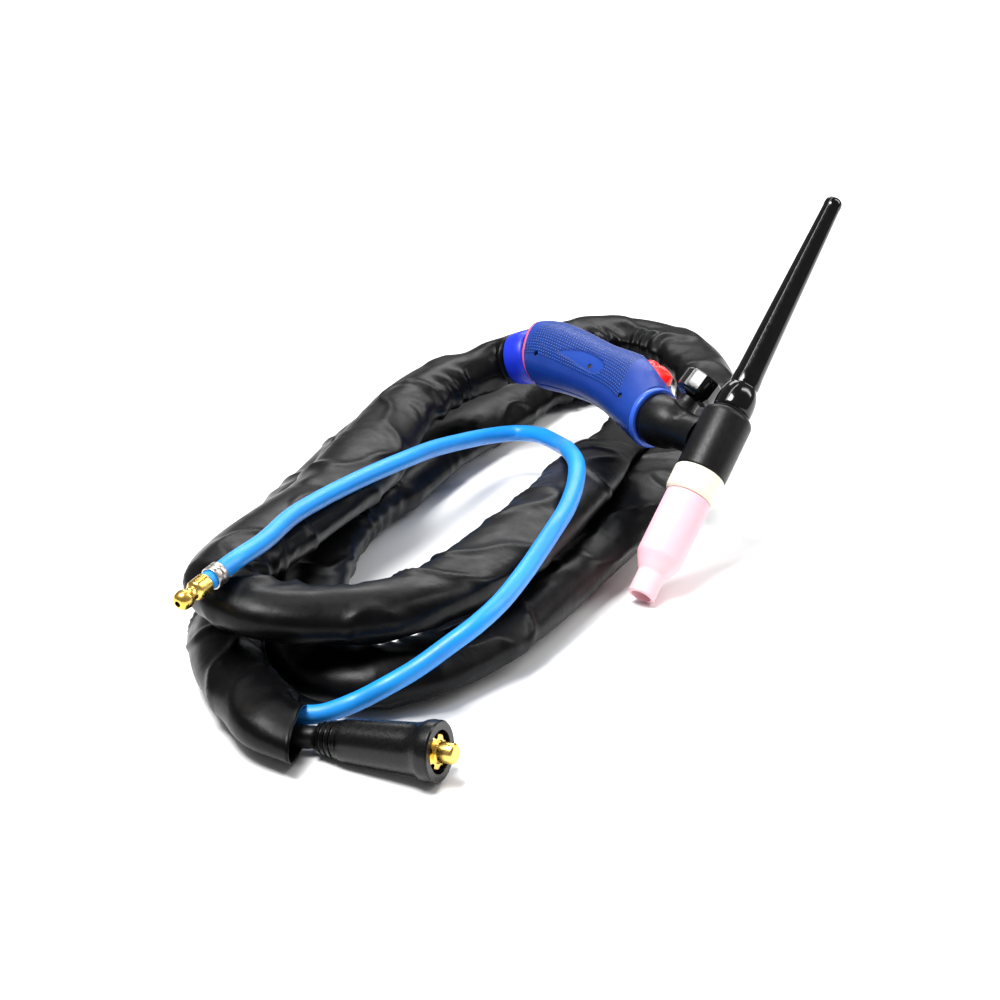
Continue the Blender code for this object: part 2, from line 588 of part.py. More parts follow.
def cord(name, points, diameter, finish):
    curve = bpy.data.curves.new(name, "CURVE")
    curve.dimensions = "3D"
    curve.bevel_depth = diameter / 2 * MM
    curve.bevel_resolution = 3 if diameter > 20 else 2
    curve.use_fill_caps = True
    curve.render_resolution_u = 0
    spline = curve.splines.new("POLY")
    spline.points.add(len(points) - 1)
    for slot, point in zip(spline.points, points):
        slot.co = (*(point * MM), 1.0)
    made = bpy.data.objects.new(name, curve)
    bpy.context.scene.collection.objects.link(made)
    curve.materials.append(finish)
    return made


def laid(points, shift):
    return [Vector(point) + Vector((shift.x, shift.y, 0)) - LAID_AT for point in points]


def build_cords(shift, start, direction, finishes):
    """start and direction are where the sleeve leaves the knuckle, in world millimetres."""
    route = [start, start + 9 * direction, *laid(SHEATH_ROUTE, shift)]
    points = [start, *smooth_route(route[1:-1], SHEATH_POINTS), route[-1]]
    cord("cable_sheath", points, SHEATH_DIAMETER, finishes["leather"])
    cable = laid(CABLE_ROUTE, shift)
    cord("power_cable", cable, CABLE_DIAMETER, finishes["rubber"])
    plug_axis = (cable[-1] - cable[-2]).normalized()
    plug = frame("plug_frame", cable[-1] - 5.0 * plug_axis, plug_axis, Vector((0, 0, 1)))
    build_plug(plug, finishes)
    hose = smooth_route(laid(HOSE_ROUTE, shift), HOSE_POINTS)
    cord("gas_hose", hose, HOSE_DIAMETER, finishes["hose_blue"])
    hose_axis = (hose[-1] - hose[-2]).normalized()
    end = frame("gas_end_frame", hose[-1] - 9.0 * hose_axis, hose_axis, Vector((0, 0, 1)))
    build_gas_end(end, finishes)


def build_plug(plug, finishes):
    """Small cable plug along +Z of its frame, from its grooved boot to its brass pin."""
    bore = CABLE_DIAMETER / 2 + GAP
    turned("plug_boot", (
        (bore, 0.0), (6.6, 0.0), (6.9, 0.5), (7.2, 2.4), (6.5, 2.8), (6.6, 3.2), (7.5, 3.6), (7.7, 5.2),
        (7.0, 5.6), (7.1, 6.0), (8.0, 6.4), (8.2, 8.0), (7.5, 8.4), (7.6, 8.8), (8.5, 9.2), (8.7, 11.0),
        (bore, 11.0)), finishes["plug_rubber"], plug, 24)
    housing = turned("plug_housing", (
        (PIN_SHANK + GAP, 11.0 + GAP), (8.8, 11.0 + GAP), (9.3, 12.2), (11.2, 46.0), (12.0, 49.0),
        (PLUG_RADIUS, 51.5), (PLUG_RADIUS, PLUG_FRONT - 1.0), (PLUG_RADIUS - 0.7, PLUG_FRONT),
        (9.2, PLUG_FRONT), (8.9, 49.3), (PIN_SHANK + GAP, 48.2)), finishes["plug_rubber"], plug, 28)
    bm = bmesh.new()
    add_turned(bm, ((0, 14.0), (PIN_SHANK, 14.0), (PIN_SHANK, 48.6), (7.8, 50.2), (7.8, 55.0), (7.2, 55.8),
                    (5.0, 56.2), (4.5, 57.0), (4.5, PIN_END - 1.4), (4.2, PIN_END - 0.5), (3.4, PIN_END),
                    (0, PIN_END)), 24)
    pin = finish_mesh("plug_pin", bm, finishes["brass"], plug)
    bm = bmesh.new()
    for turn in range(0, 360, 60):
        c = math.cos(math.radians(turn))
        s = math.sin(math.radians(turn))
        add_turned(bm, rod_profile(1.6, 51.0, 58.0, 0.01), 10, (7.6 * c, 7.6 * s, 0))
    cut(pin, finish_mesh("lug_cutter", bm, finishes["brass"], plug))
    bm = bmesh.new()
    add_turned(bm, rod_profile(2.0 + GAP, -13.0, -8.6, 0.01), 16, (0, 0, 26.0), "Y")
    cut(housing, finish_mesh("set_screw_cutter", bm, finishes["steel"], plug))
    bm = bmesh.new()
    add_turned(bm, rod_profile(2.0, -9.9, -8.8, 0.2), 16, (0, 0, 26.0), "Y")
    finish_mesh("plug_set_screw", bm, finishes["steel"], plug)


def build_gas_end(end, finishes):
    turned("hose_clamp", tube_profile(5.2, HOSE_DIAMETER / 2 + GAP, 0.0, 6.0, 0.3), finishes["steel"], end, 24)
    turned("gas_plug", (
        (0, 9.4), (4.6, 9.4), (4.6, 16.5), (3.1, 17.6), (3.1, 20.4), (3.9, 21.4), (4.4, 23.6), (3.9, 25.8),
        (2.6, 27.4), (1.4, 27.9), (1.4, 14.0), (0, 14.0)), finishes["brass"], end, 24)


def main():
    clear_scene()
    finishes = {
        "rubber": material("black_rubber", (0.012, 0.012, 0.013), 0.5),
        "phenolic": material("black_phenolic", (0.006, 0.006, 0.006), 0.15),
        "nylon": material("dark_nylon", (0.03, 0.03, 0.035), 0.5),
        "blue": material("blue_grip", (0.006, 0.08, 0.40), 0.4),
        "light_blue": material("light_blue_lip", (0.10, 0.22, 0.75), 0.35),
        "royal_blue": material("royal_blue_collar", (0.013, 0.045, 0.70), 0.3),
        "red": material("red_trigger", (0.95, 0.01, 0.008), 0.35),
        "coral": material("coral_ring", (0.75, 0.10, 0.13), 0.4),
        "ivory": material("ivory_gasket", (0.95, 0.90, 0.76), 0.4),
        "alumina": material("pink_alumina", (0.95, 0.68, 0.72), 0.45),
        "brass": material("brass", (0.80, 0.55, 0.18), 0.25, 1.0),
        "copper": material("copper", (0.80, 0.42, 0.28), 0.3, 1.0),
        "steel": material("steel", (0.62, 0.60, 0.58), 0.3, 1.0),
        "tungsten": material("tungsten", (0.45, 0.45, 0.46), 0.35, 1.0),
        "leather": material("black_leather", (0.010, 0.010, 0.012), 0.4),
        "plug_rubber": material("plug_rubber", (0.008, 0.008, 0.009), 0.3),
        "hose_blue": material("hose_blue", (0.02, 0.36, 0.90), 0.35),
    }
    top = (CAP - CAP.dot(HANDLE_REAR) * HANDLE_REAR).normalized()
    right = top.cross(HANDLE_REAR)
    root = frame("torch_frame", Vector(), Vector((0, 0, 1)), Vector((1, 0, 0)))
    head = frame("head_frame", Vector(), CAP, HANDLE_REAR, root)
    grip = frame("grip_frame", Vector(), HANDLE_REAR, top, root)
    valve = frame("valve_frame", VALVE_AT * HANDLE_REAR, top, HANDLE_REAR, root)
    pivot = frame("trigger_frame", TRIGGER_AT * HANDLE_REAR + PIVOT_HEIGHT * top, HANDLE_REAR, top, root)
    plunger = frame("plunger_frame", (TRIGGER_AT - 7.5) * HANDLE_REAR + (SWITCH_TOP + 0.8) * top, top, HANDLE_REAR, root)
    exit_way = (HANDLE_REAR - KNUCKLE_LEAN_DOWN * top + KNUCKLE_LEAN_RIGHT * right).normalized()
    ball_centre = BALL_AT * HANDLE_REAR + BALL_HEIGHT * top
    knuckle = frame("knuckle_frame", ball_centre, exit_way, top, root)
    build_head(head, grip, finishes)
    build_neck(head, grip, valve, finishes)
    build_handle(grip, finishes)
    build_trigger(pivot, grip, finishes)
    build_plunger(plunger, finishes)
    build_knuckle(grip, knuckle, finishes)
    shift = stand_on_floor(root)
    sleeve_start = shift + ball_centre + (COLLAR_END + GAP) * exit_way
    build_cords(shift, sleeve_start, exit_way, finishes)


def stand_on_floor(root):
    """Moves the torch so that its own box stands on z = 0 with its middle over the origin."""
    bpy.context.view_layer.update()
    graph = bpy.context.evaluated_depsgraph_get()
    low = Vector((1e9, 1e9, 1e9))
    high = -low
    for piece in torch_objects:
        solid = piece.evaluated_get(graph)
        for vert in solid.data.vertices:
            point = solid.matrix_world @ vert.co
            low = Vector(map(min, low, point))
            high = Vector(map(max, high, point))
    root.location = Vector((-(low.x + high.x) / 2, -(low.y + high.y) / 2, -low.z))
    bpy.context.view_layer.update()
    return root.location / MM


main()
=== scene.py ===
"""Looks of the TIG torch: moulded shells, turned parts, soft sleeve, hose, plug, materials and lights.

Lengths in this file are millimetres and the helpers turn them into metres.
Head, grip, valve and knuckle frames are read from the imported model's joints, and every piece is built in one.
"""

import json
import math

import bmesh
import bpy
import numpy as np
from mathutils import Matrix, Vector, noise


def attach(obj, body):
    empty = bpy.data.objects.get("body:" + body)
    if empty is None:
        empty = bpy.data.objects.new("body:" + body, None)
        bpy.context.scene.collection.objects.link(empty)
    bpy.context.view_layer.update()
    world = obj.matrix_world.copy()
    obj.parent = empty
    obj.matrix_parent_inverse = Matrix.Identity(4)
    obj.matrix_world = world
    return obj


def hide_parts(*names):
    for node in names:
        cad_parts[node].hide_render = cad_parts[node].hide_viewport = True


MM = 0.001

# ---- head, nozzle and back cap -------------------------------------------------------------------
HEAD_RADIUS = 12.8
HEAD_TOP = 17.0
HEAD_BOTTOM = -17.6
GASKET_RADIUS = 13.0
GASKET_HEIGHT = 13.0
CUP_RADIUS = 11.5
CUP_LENGTH = 55.0
CUP_MOUTH_RADIUS = 6.8
CUP_WALL = 1.8
CORE_BORE = 5.2
CAP_LOW = HEAD_TOP + 1.9
CAP_LENGTH = 130.0
GAP = 0.3

# ---- neck, valve and handle ----------------------------------------------------------------------
RING_FRONT = 46.0
KNOB_RADIUS = 10.2
KNOB_BOTTOM = 17.5
KNOB_HEIGHT = 12.0
KNOB_SIDES = 8
WALL = 2.4
SECTION_POWER = 2.3
# distance behind the head axis, height of the section's centre, half height, half width, backward lean
HANDLE_SECTIONS = (
    (49.0, 0.0, 15.3, 15.0, 0.0),
    (55.0, 2.5, 16.5, 15.2, 0.0),
    (63.0, 6.0, 18.0, 15.5, 0.0),
    (73.0, 8.6, 18.3, 15.5, 0.0),
    (85.0, 10.0, 17.0, 15.0, 0.0),
    (99.0, 10.4, 16.0, 14.6, 0.0),
    (112.0, 10.6, 16.4, 15.2, 0.0),
    (126.0, 10.5, 17.2, 16.2, 0.06),
    (136.0, 10.0, 17.6, 16.8, 0.2),
    (144.0, 8.8, 17.2, 16.6, 0.38),
    (150.0, 7.4, 16.2, 15.8, 0.5),
)
PANEL_FRONT = 86.0
PANEL_REAR = 127.0
TRIGGER_SHIFT = 3.0                 # how far the rocker sits behind its pin
TRIGGER_AT = 64.0 + TRIGGER_SHIFT
SLOT_ROOM = 1.0
SLOT_SIDE_ROOM = 0.7
TRIGGER_LENGTH = 23.0
TRIGGER_WIDTH = 15.0
TRIGGER_CROWN = 12.4
SCREW_HOLE = 1.5
SCREW_AT = (62.0, 96.0, 136.0)
SCREW_HEIGHT = (-1.0, 7.0, 1.5)

# ---- knuckle, cords and plug ---------------------------------------------------------------------
COLLAR_RADIUS = 14.5
COLLAR_END = 15.4
SLEEVE_HALF_HEIGHT = 12.0
MOUTH_LENGTH = 28.0
MOUTH_SLUMP = 1.8
MOUTH_FACES = Vector((0.99, -0.15, 0.0))
HOSE_DIAMETER = 8.5
CABLE_DIAMETER = 10.0
PLUG_RADIUS = 13.2
PLUG_FRONT = 56.7
PIN_SHANK = 6.0
PIN_END = 64.0
HOSE_POINTS = 40
HOSE_SAMPLES = 340
HOSE_HIDDEN_SAMPLES = 14            # samples of the hose that lie inside the sleeve
CABLE_SAMPLES = 60
SLEEVE_SAMPLES = 1060
SLEEVE_AROUND = 84
SLEEVE_WALL = 1.3
SLEEVE_INNER_RINGS = 40             # how far the inner wall runs back from the open end
SLEEVE_NECK = 12.9                  # half width where the sleeve leaves the collar
FLOOR_GAP = 0.6
STRAND_REACH = 52                   # strands closer than this press each other flat

CAMERA_PLACE = (-0.0873, -1.1016, 0.5019)

# The routes were laid with the head's axis standing here; laid() moves them with the torch.
LAID_AT = Vector((20.6, -47.3, 0))
# Route of the sleeve from the knuckle to its open end, with the sleeve's half width at each point.
SLEEVE_ROUTE = (
    (-96, 84, 48, 14), (-113, 74, 46, 17), (-133, 43, 43, 19), (-148, -12, 41, 20), (-164, -59, 41, 20),
    (-184, -103, 42, 20), (-200, -138, 44, 19), (-207, -162, 45, 18), (-203, -180, 45.5, 17),
    (-190, -192, 44, 17), (-175, -194, 42, 18), (-160, -192, 40, 18), (-140, -187, 39, 18),
    (-120, -174, 39, 18), (-101, -153, 38.5, 19), (-83, -124, 38.5, 20), (-66, -91, 38, 20),
    (-52, -57, 36.5, 20), (-41, -22, 31, 20), (-32, 12, 23, 20), (-20, 46, 16, 19), (-8, 84, 13.6, 18),
    (-3, 118, 13.6, 17), (-9, 148, 13.6, 17), (-26, 165, 13.6, 17), (-48, 160, 13.6, 17),
    (-66, 141, 13.6, 17), (-82, 116, 13.6, 18), (-104, 78, 13.6, 18), (-119, 52, 13.6, 18),
    (-135, 18, 13.6, 18), (-152, -18, 13.6, 17), (-163, -50, 13.6, 17), (-169, -86, 13.6, 16),
    (-172, -118, 13.6, 16), (-174, -145, 13.6, 16), (-172, -170, 13.6, 16), (-161, -191, 13.6, 17),
    (-142, -198, 13.6, 18), (-120, -190, 13.6, 19), (-98, -167, 13.6, 20), (-78, -137, 13.6, 20),
    (-57, -102, 13.6, 20), (-38, -66, 13.6, 20), (-21, -29, 13.6, 20), (-6, 8, 13.6, 20),
    (11, 44, 13.6, 20), (23, 82, 13.6, 19), (32, 120, 13.6, 19), (34, 152, 13.6, 18), (30, 182, 13.6, 18),
    (20, 207, 13.6, 18), (3, 223, 13.6, 18), (-18, 228, 13.6, 18), (-40, 221, 13.6, 18),
    (-65, 205, 13.6, 18), (-90, 178, 13.6, 18), (-115, 142, 13.6, 18), (-138, 103, 13.6, 18),
    (-158, 62, 13.6, 18), (-175, 18, 13.6, 17), (-190, -32, 13.6, 17), (-201, -82, 13.6, 17),
    (-207, -128, 13.6, 17), (-208.5, -162, 13.6, 17), (-204, -188, 13.6, 17), (-196, -208, 13.6, 17),
    (-188, -224, 13.6, 17), (-180, -237, 13.6, 18), (-168, -246, 13.6, 19),
)
# Route of the gas hose from the sleeve's mouth to its brass end.
HOSE_ROUTE = (
    (-160, -229.5, 12.5), (-146, -224, 15), (-132, -222, 22), (-119, -215, 27), (-106, -208, 34),
    (-94, -200, 40), (-83, -185, 44), (-73, -164, 47.5), (-65, -145, 51), (-58.5, -129, 54),
    (-53, -109, 54), (-48.5, -84, 54.5), (-47, -57, 54), (-50, -26, 48), (-52, 13, 34), (-62, 39, 29),
    (-75, 50, 26), (-90, 41, 28), (-104, 19, 34), (-118, -10, 42), (-131, -38, 48), (-144, -60, 51),
    (-156, -80, 53), (-168, -103, 55.5), (-179, -128, 58), (-188, -160, 61), (-198, -185, 63.5),
    (-209, -202, 61),
)
# Where the hose and the power cable run on inside the sleeve.
HOSE_INSIDE = ((-185, -222, 12.4), (-173, -228, 12.2))
CABLE_ROUTE = ((-162, -240.3, 7.5), (-159.3, -241.5, 7.9), (-154.8, -243.6, 8.5))
CABLE_INSIDE = ((-207, -183, 10), (-200, -202, 9), (-191, -220, 8), (-181, -234, 7.3), (-171, -239, 7.3))

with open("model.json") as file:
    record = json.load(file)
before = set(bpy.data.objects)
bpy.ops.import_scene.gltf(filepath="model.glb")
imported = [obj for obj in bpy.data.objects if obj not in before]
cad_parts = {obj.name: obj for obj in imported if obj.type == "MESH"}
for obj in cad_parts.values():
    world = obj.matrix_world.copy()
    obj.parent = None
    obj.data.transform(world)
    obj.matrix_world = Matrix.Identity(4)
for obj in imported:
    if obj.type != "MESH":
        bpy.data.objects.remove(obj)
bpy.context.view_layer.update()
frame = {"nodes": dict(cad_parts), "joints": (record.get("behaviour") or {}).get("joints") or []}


# ---- frames --------------------------------------------------------------------------------------
def joint(name):
    return next(j for j in frame["joints"] if j["name"] == name)


def frame_at(origin, z_axis, x_hint):
    """Matrix, in metres, with its origin in millimetres, Z along z_axis and X as near x_hint as it can be."""
    z = z_axis.normalized()
    x = (x_hint - x_hint.dot(z) * z).normalized()
    return Matrix.Translation(origin * MM) @ Matrix((x, z.cross(x), z)).transposed().to_4x4()


TORCH = Vector(joint("cap_unscrew")["pos_m"]) / MM
CAP = Vector(joint("cap_unscrew")["axis"])
TOP = Vector(joint("valve_turn")["axis"])
SIDE = Vector(joint("trigger_rock")["axis"])
REAR = TOP.cross(SIDE)
BALL = Vector(joint("knuckle_swivel")["pos_m"]) / MM
EXIT = Vector(joint("knuckle_swivel")["axis"])
HEAD = frame_at(TORCH, CAP, REAR)
GRIP = frame_at(TORCH, REAR, TOP)
VALVE = frame_at(Vector(joint("valve_turn")["pos_m"]) / MM, TOP, REAR)
TRIGGER = frame_at(Vector(joint("trigger_rock")["pos_m"]) / MM, REAR, TOP)
KNUCKLE = frame_at(BALL, EXIT, TOP)


# ---- curves --------------------------------------------------------------------------------------
def catmull(a, b, c, d, t):
    return tuple(0.5 * (2 * q + (r - p) * t + (2 * p - 5 * q + 4 * r - s) * t * t
                        + (3 * q - p - 3 * r + s) * t ** 3) for p, q, r, s in zip(a, b, c, d))


def smooth_through(points, steps):
    """Catmull-Rom points through the given ones, steps to each span."""
    result = []
    last = len(points) - 1
    for i in range(last):
        a = points[max(i - 1, 0)]
        d = points[min(i + 2, last)]
        for k in range(steps):
            result.append(catmull(a, points[i], points[i + 1], d, k / steps))
    result.append(tuple(points[-1]))
    return result


def evenly(points, count):
    """Reads count evenly spaced points from a smooth curve; only the first three numbers measure length."""
    dense = np.array(smooth_through([tuple(point) for point in points], 24))
    steps = np.linalg.norm(np.diff(dense[:, :3], axis=0), axis=1)
    lengths = np.concatenate(([0.0], np.cumsum(steps)))
    wanted = np.linspace(0.0, lengths[-1], count)
    return np.stack([np.interp(wanted, lengths, dense[:, k]) for k in range(dense.shape[1])], axis=1)


def laid(points):
    """Moves a route with the torch; a fourth number is kept as it is."""
    shift = (TORCH.x - LAID_AT.x, TORCH.y - LAID_AT.y, 0.0)
    return [tuple(p + s for p, s in zip(point, shift)) + tuple(point[3:]) for point in points]


def smoothstep(low, high, value):
    t = min(max((value - low) / (high - low), 0.0), 1.0)
    return t * t * (3 - 2 * t)


# ---- meshes --------------------------------------------------------------------------------------
def put_in_scene(name, data, matrix, finish, body, nodes):
    piece = bpy.data.objects.new(name, data)
    bpy.context.scene.collection.objects.link(piece)
    data.materials.append(finish)
    piece.matrix_world = matrix
    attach(piece, body)
    if nodes:
        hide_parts(*nodes)
    return piece


def mesh_piece(name, bm, matrix, finish, body, nodes, edge=0.25):
    """Turns a bmesh in millimetres into a piece with softened edges."""
    bmesh.ops.recalc_face_normals(bm, faces=bm.faces)
    if bm.calc_volume(signed=True) < 0:
        bmesh.ops.reverse_faces(bm, faces=bm.faces)
    bmesh.ops.scale(bm, vec=(MM, MM, MM), verts=bm.verts)
    mesh = bpy.data.meshes.new(name)
    bm.to_mesh(mesh)
    bm.free()
    mesh.shade_smooth()
    piece = put_in_scene(name, mesh, matrix, finish, body, nodes)
    if edge:
        bevel = piece.modifiers.new("edge", "BEVEL")
        bevel.width = edge * MM
        bevel.segments = 3
        bevel.limit_method = "ANGLE"
        bevel.angle_limit = math.radians(28)
        bevel.harden_normals = True
    return piece


def add_turned(bm, outline, segments=96, centre=(0, 0, 0), axis="Z", reshape=None):
    """Revolves a closed outline of (radius, height) points; reshape may move each point."""
    rings = []
    for radius, height in outline:
        ring = []
        for i in range(segments if radius > 1e-6 else 1):
            turn = 2 * math.pi * i / segments
            point = Vector((radius * math.cos(turn), radius * math.sin(turn), height))
            if reshape:
                point = reshape(point)
            if axis == "Y":
                point = Vector((point.x, point.z, -point.y))
            ring.append(bm.verts.new(point + Vector(centre)))
        rings.append(ring)
    pairs = list(zip(rings, rings[1:]))
    if len(rings[0]) > 1:
        pairs.append((rings[-1], rings[0]))
    for low, high in pairs:
        for i in range(segments):
            j = (i + 1) % segments
            corners = [low[i % len(low)], low[j % len(low)], high[j % len(high)], high[i % len(high)]]
            unique = list(dict.fromkeys(corners))
            if len(unique) > 2:
                bm.faces.new(unique)


def turned(name, runs, matrix, finish, body, nodes, edge=0.25, reshape=None, steps=6):
    """Lathe piece: each run of points is smooth, and runs meet at softened corners."""
    outline = []
    for run in runs:
        outline += smooth_through(run, steps) if len(run) > 2 else list(run)
    bm = bmesh.new()
    add_turned(bm, outline, reshape=reshape)
    return mesh_piece(name, bm, matrix, finish, body, nodes, edge)


def loft(bm, rings):
    """Skins a stack of equal-length closed rings and closes both ends with a fan."""
    rows = [[bm.verts.new(point) for point in ring] for ring in rings]
    count = len(rows[0])
    for low, high in zip(rows, rows[1:]):
        for i in range(count):
            j = (i + 1) % count
            bm.faces.new((low[i], low[j], high[j], high[i]))
    for row in (rows[0], rows[-1]):
        centre = bm.verts.new(sum((vert.co for vert in row), Vector()) / count)
        for i in range(count):
            bm.faces.new((row[i], row[(i + 1) % count], centre))


def rod(radius, low, high):
    return ((0, low), (radius, low), (radius, high), (0, high))


def cut(piece, bm, matrix, name):
    """Subtracts a bmesh in millimetres from a piece and leaves the result in its mesh."""
    bmesh.ops.recalc_face_normals(bm, faces=bm.faces)
    bmesh.ops.scale(bm, vec=(MM, MM, MM), verts=bm.verts)
    mesh = bpy.data.meshes.new(name)
    bm.to_mesh(mesh)
    bm.free()
    cutter = bpy.data.objects.new(name, mesh)
    bpy.context.scene.collection.objects.link(cutter)
    cutter.matrix_world = matrix
    modifier = piece.modifiers.new("cut", "BOOLEAN")
    modifier.operation = "DIFFERENCE"
    modifier.solver = "EXACT"
    modifier.object = cutter
    with bpy.context.temp_override(object=piece, active_object=piece, selected_objects=[piece]):
        bpy.ops.object.modifier_move_to_index(modifier="cut", index=0)
        bpy.ops.object.modifier_apply(modifier="cut")
    bpy.data.objects.remove(cutter, do_unlink=True)


# ---- materials -----------------------------------------------------------------------------------
def linear(hex_colour):
    """Linear colour from a six-digit sRGB one."""
    values = [int(hex_colour[i:i + 2], 16) / 255 for i in (0, 2, 4)]
    return tuple(v / 12.92 if v <= 0.04045 else ((v + 0.055) / 1.055) ** 2.4 for v in values)


def add_node(tree, kind, **sockets):
    made = tree.nodes.new(kind)
    for name, value in sockets.items():
        made.inputs[name.replace("_", " ")].default_value = value
    return made


def math_node(tree, operation, first, second=None, clamp=False):
    made = tree.nodes.new("ShaderNodeMath")
    made.operation = operation
    made.use_clamp = clamp
    for socket, value in zip(made.inputs, (first, second)):
        if value is None:
            continue
        if isinstance(value, (int, float)):
            socket.default_value = value
        else:
            tree.links.new(value, socket)
    return made.outputs[0]


def noise_of(tree, coordinates, size, detail=3.0):
    """Noise whose features are about size millimetres across."""
    made = add_node(tree, "ShaderNodeTexNoise", Scale=1 / (size * MM), Detail=detail)
    tree.links.new(coordinates, made.inputs["Vector"])
    return made.outputs["Fac"]


def spread(tree, value, low, high, start=0.3, end=0.7):
    made = add_node(tree, "ShaderNodeMapRange", From_Min=start, From_Max=end, To_Min=low, To_Max=high)
    tree.links.new(value, made.inputs["Value"])
    return made.outputs["Result"]


def mix_colours(tree, share, first, second):
    """first and second are linear colours or colour sockets."""
    made = tree.nodes.new("ShaderNodeMix")
    made.data_type = "RGBA"
    tree.links.new(share, made.inputs["Factor"])
    for socket, value in ((made.inputs[6], first), (made.inputs[7], second)):
        if isinstance(value, tuple):
            socket.default_value = (*value, 1.0)
        else:
            tree.links.new(value, socket)
    return made.outputs[2]


def bump_from(tree, height, depth, strength=1.0, under=None):
    """Bump of the given depth in millimetres."""
    made = add_node(tree, "ShaderNodeBump", Strength=strength, Distance=depth * MM)
    tree.links.new(height, made.inputs["Height"])
    if under:
        tree.links.new(under, made.inputs["Normal"])
    return made.outputs["Normal"]


def surface(name, colour, shade, rough, grain, depth, metallic=0.0, gloss=0.5, patch=12.0):
    """Principled material: broad patches between two colours, fine grain in gloss and relief.

    rough is (lowest, highest); grain, depth and patch are millimetres.
    """
    made = bpy.data.materials.new(name)
    made.use_nodes = True
    tree = made.node_tree
    shader = tree.nodes["Principled BSDF"]
    coordinates = tree.nodes.new("ShaderNodeTexCoord").outputs["Object"]
    broad = noise_of(tree, coordinates, patch)
    fine = noise_of(tree, coordinates, grain, 4.0)
    tree.links.new(mix_colours(tree, spread(tree, broad, 0.0, 1.0), linear(colour), linear(shade)),
                   shader.inputs["Base Color"])
    tree.links.new(spread(tree, noise_of(tree, coordinates, grain * 3), *rough), shader.inputs["Roughness"])
    tree.links.new(bump_from(tree, fine, depth), shader.inputs["Normal"])
    shader.inputs["Metallic"].default_value = metallic
    shader.inputs["Specular IOR Level"].default_value = gloss
    return made


def turned_metal(name, colour, shade, rough, pitch, depth):
    """Metal with fine tool rings around its own Z."""
    made = surface(name, colour, shade, rough, 0.7, 0.0015, metallic=1.0)
    tree = made.node_tree
    shader = tree.nodes["Principled BSDF"]
    coordinates = tree.nodes.new("ShaderNodeTexCoord").outputs["Object"]
    wave = add_node(tree, "ShaderNodeTexWave", Scale=1 / (pitch * MM * 6), Distortion=0.6)
    wave.bands_direction = "Z"
    tree.links.new(coordinates, wave.inputs["Vector"])
    under = shader.inputs["Normal"].links[0].from_socket
    tree.links.new(bump_from(tree, wave.outputs["Fac"], depth, 0.5, under), shader.inputs["Normal"])
    return made


def black_rubber():
    return surface("black_rubber", "060607", "0B0B0D", (0.34, 0.46), 0.5, 0.008, gloss=0.25)


def black_phenolic():
    return surface("black_phenolic", "030303", "060607", (0.08, 0.15), 0.8, 0.002, gloss=0.45)


def dark_nylon():
    return surface("dark_nylon", "26262A", "1D1D21", (0.42, 0.58), 0.4, 0.012)


def ivory_gasket():
    return surface("ivory_gasket", "F6EFDC", "EEE4CC", (0.3, 0.42), 0.8, 0.006)


def pink_alumina():
    return surface("pink_alumina", "FFCCD2", "FABCC8", (0.42, 0.55), 0.25, 0.01, patch=30.0)


def red_trigger():
    return surface("red_trigger", "FF1408", "EE0A06", (0.26, 0.36), 0.6, 0.008)


def royal_blue():
    return surface("royal_blue", "1430C8", "0F28B0", (0.36, 0.46), 1.2, 0.002, gloss=0.4)


def light_blue_lip():
    return surface("light_blue_lip", "3060D4", "2854C4", (0.3, 0.42), 0.6, 0.008)


def coral_ring():
    return surface("coral_ring", "E65A6E", "D84A60", (0.34, 0.46), 0.6, 0.008)


def plug_rubber():
    return surface("plug_rubber", "030304", "070708", (0.24, 0.34), 0.6, 0.003, gloss=0.3)


def hose_skin():
    return surface("hose_skin", "1190E8", "1682DA", (0.34, 0.46), 0.9, 0.01, patch=25.0)


def brass():
    return turned_metal("brass", "F6D070", "E4B850", (0.2, 0.32), 0.35, 0.0025)


def copper():
    return turned_metal("copper", "DD9A70", "C98258", (0.2, 0.34), 0.35, 0.006)


def steel():
    return turned_metal("steel", "CFC6BF", "B6AEA8", (0.24, 0.38), 0.3, 0.002)


def tungsten():
    return turned_metal("tungsten", "9A9A9C", "848488", (0.3, 0.4), 0.25, 0.005)


def sleeve_leather():
    """Soft black leather cloth: fine pebbled grain over small crumples."""
    made = bpy.data.materials.new("sleeve_leather")
    made.use_nodes = True
    tree = made.node_tree
    shader = tree.nodes["Principled BSDF"]
    coordinates = tree.nodes.new("ShaderNodeTexCoord").outputs["Object"]
    broad = noise_of(tree, coordinates, 40.0)
    pebble = add_node(tree, "ShaderNodeTexVoronoi", Scale=1 / (1.1 * MM))
    tree.links.new(coordinates, pebble.inputs["Vector"])
    tree.links.new(mix_colours(tree, spread(tree, broad, 0.0, 1.0), linear("020203"), linear("060607")),
                   shader.inputs["Base Color"])
    scuff = noise_of(tree, coordinates, 9.0, 5.0)
    tree.links.new(spread(tree, scuff, 0.28, 0.42), shader.inputs["Roughness"])
    shader.inputs["Specular IOR Level"].default_value = 0.13
    crumple = bump_from(tree, noise_of(tree, coordinates, 7.0, 4.0), 0.5, 0.5)
    tree.links.new(bump_from(tree, pebble.outputs["Distance"], 0.03, 0.5, crumple), shader.inputs["Normal"])
    return made


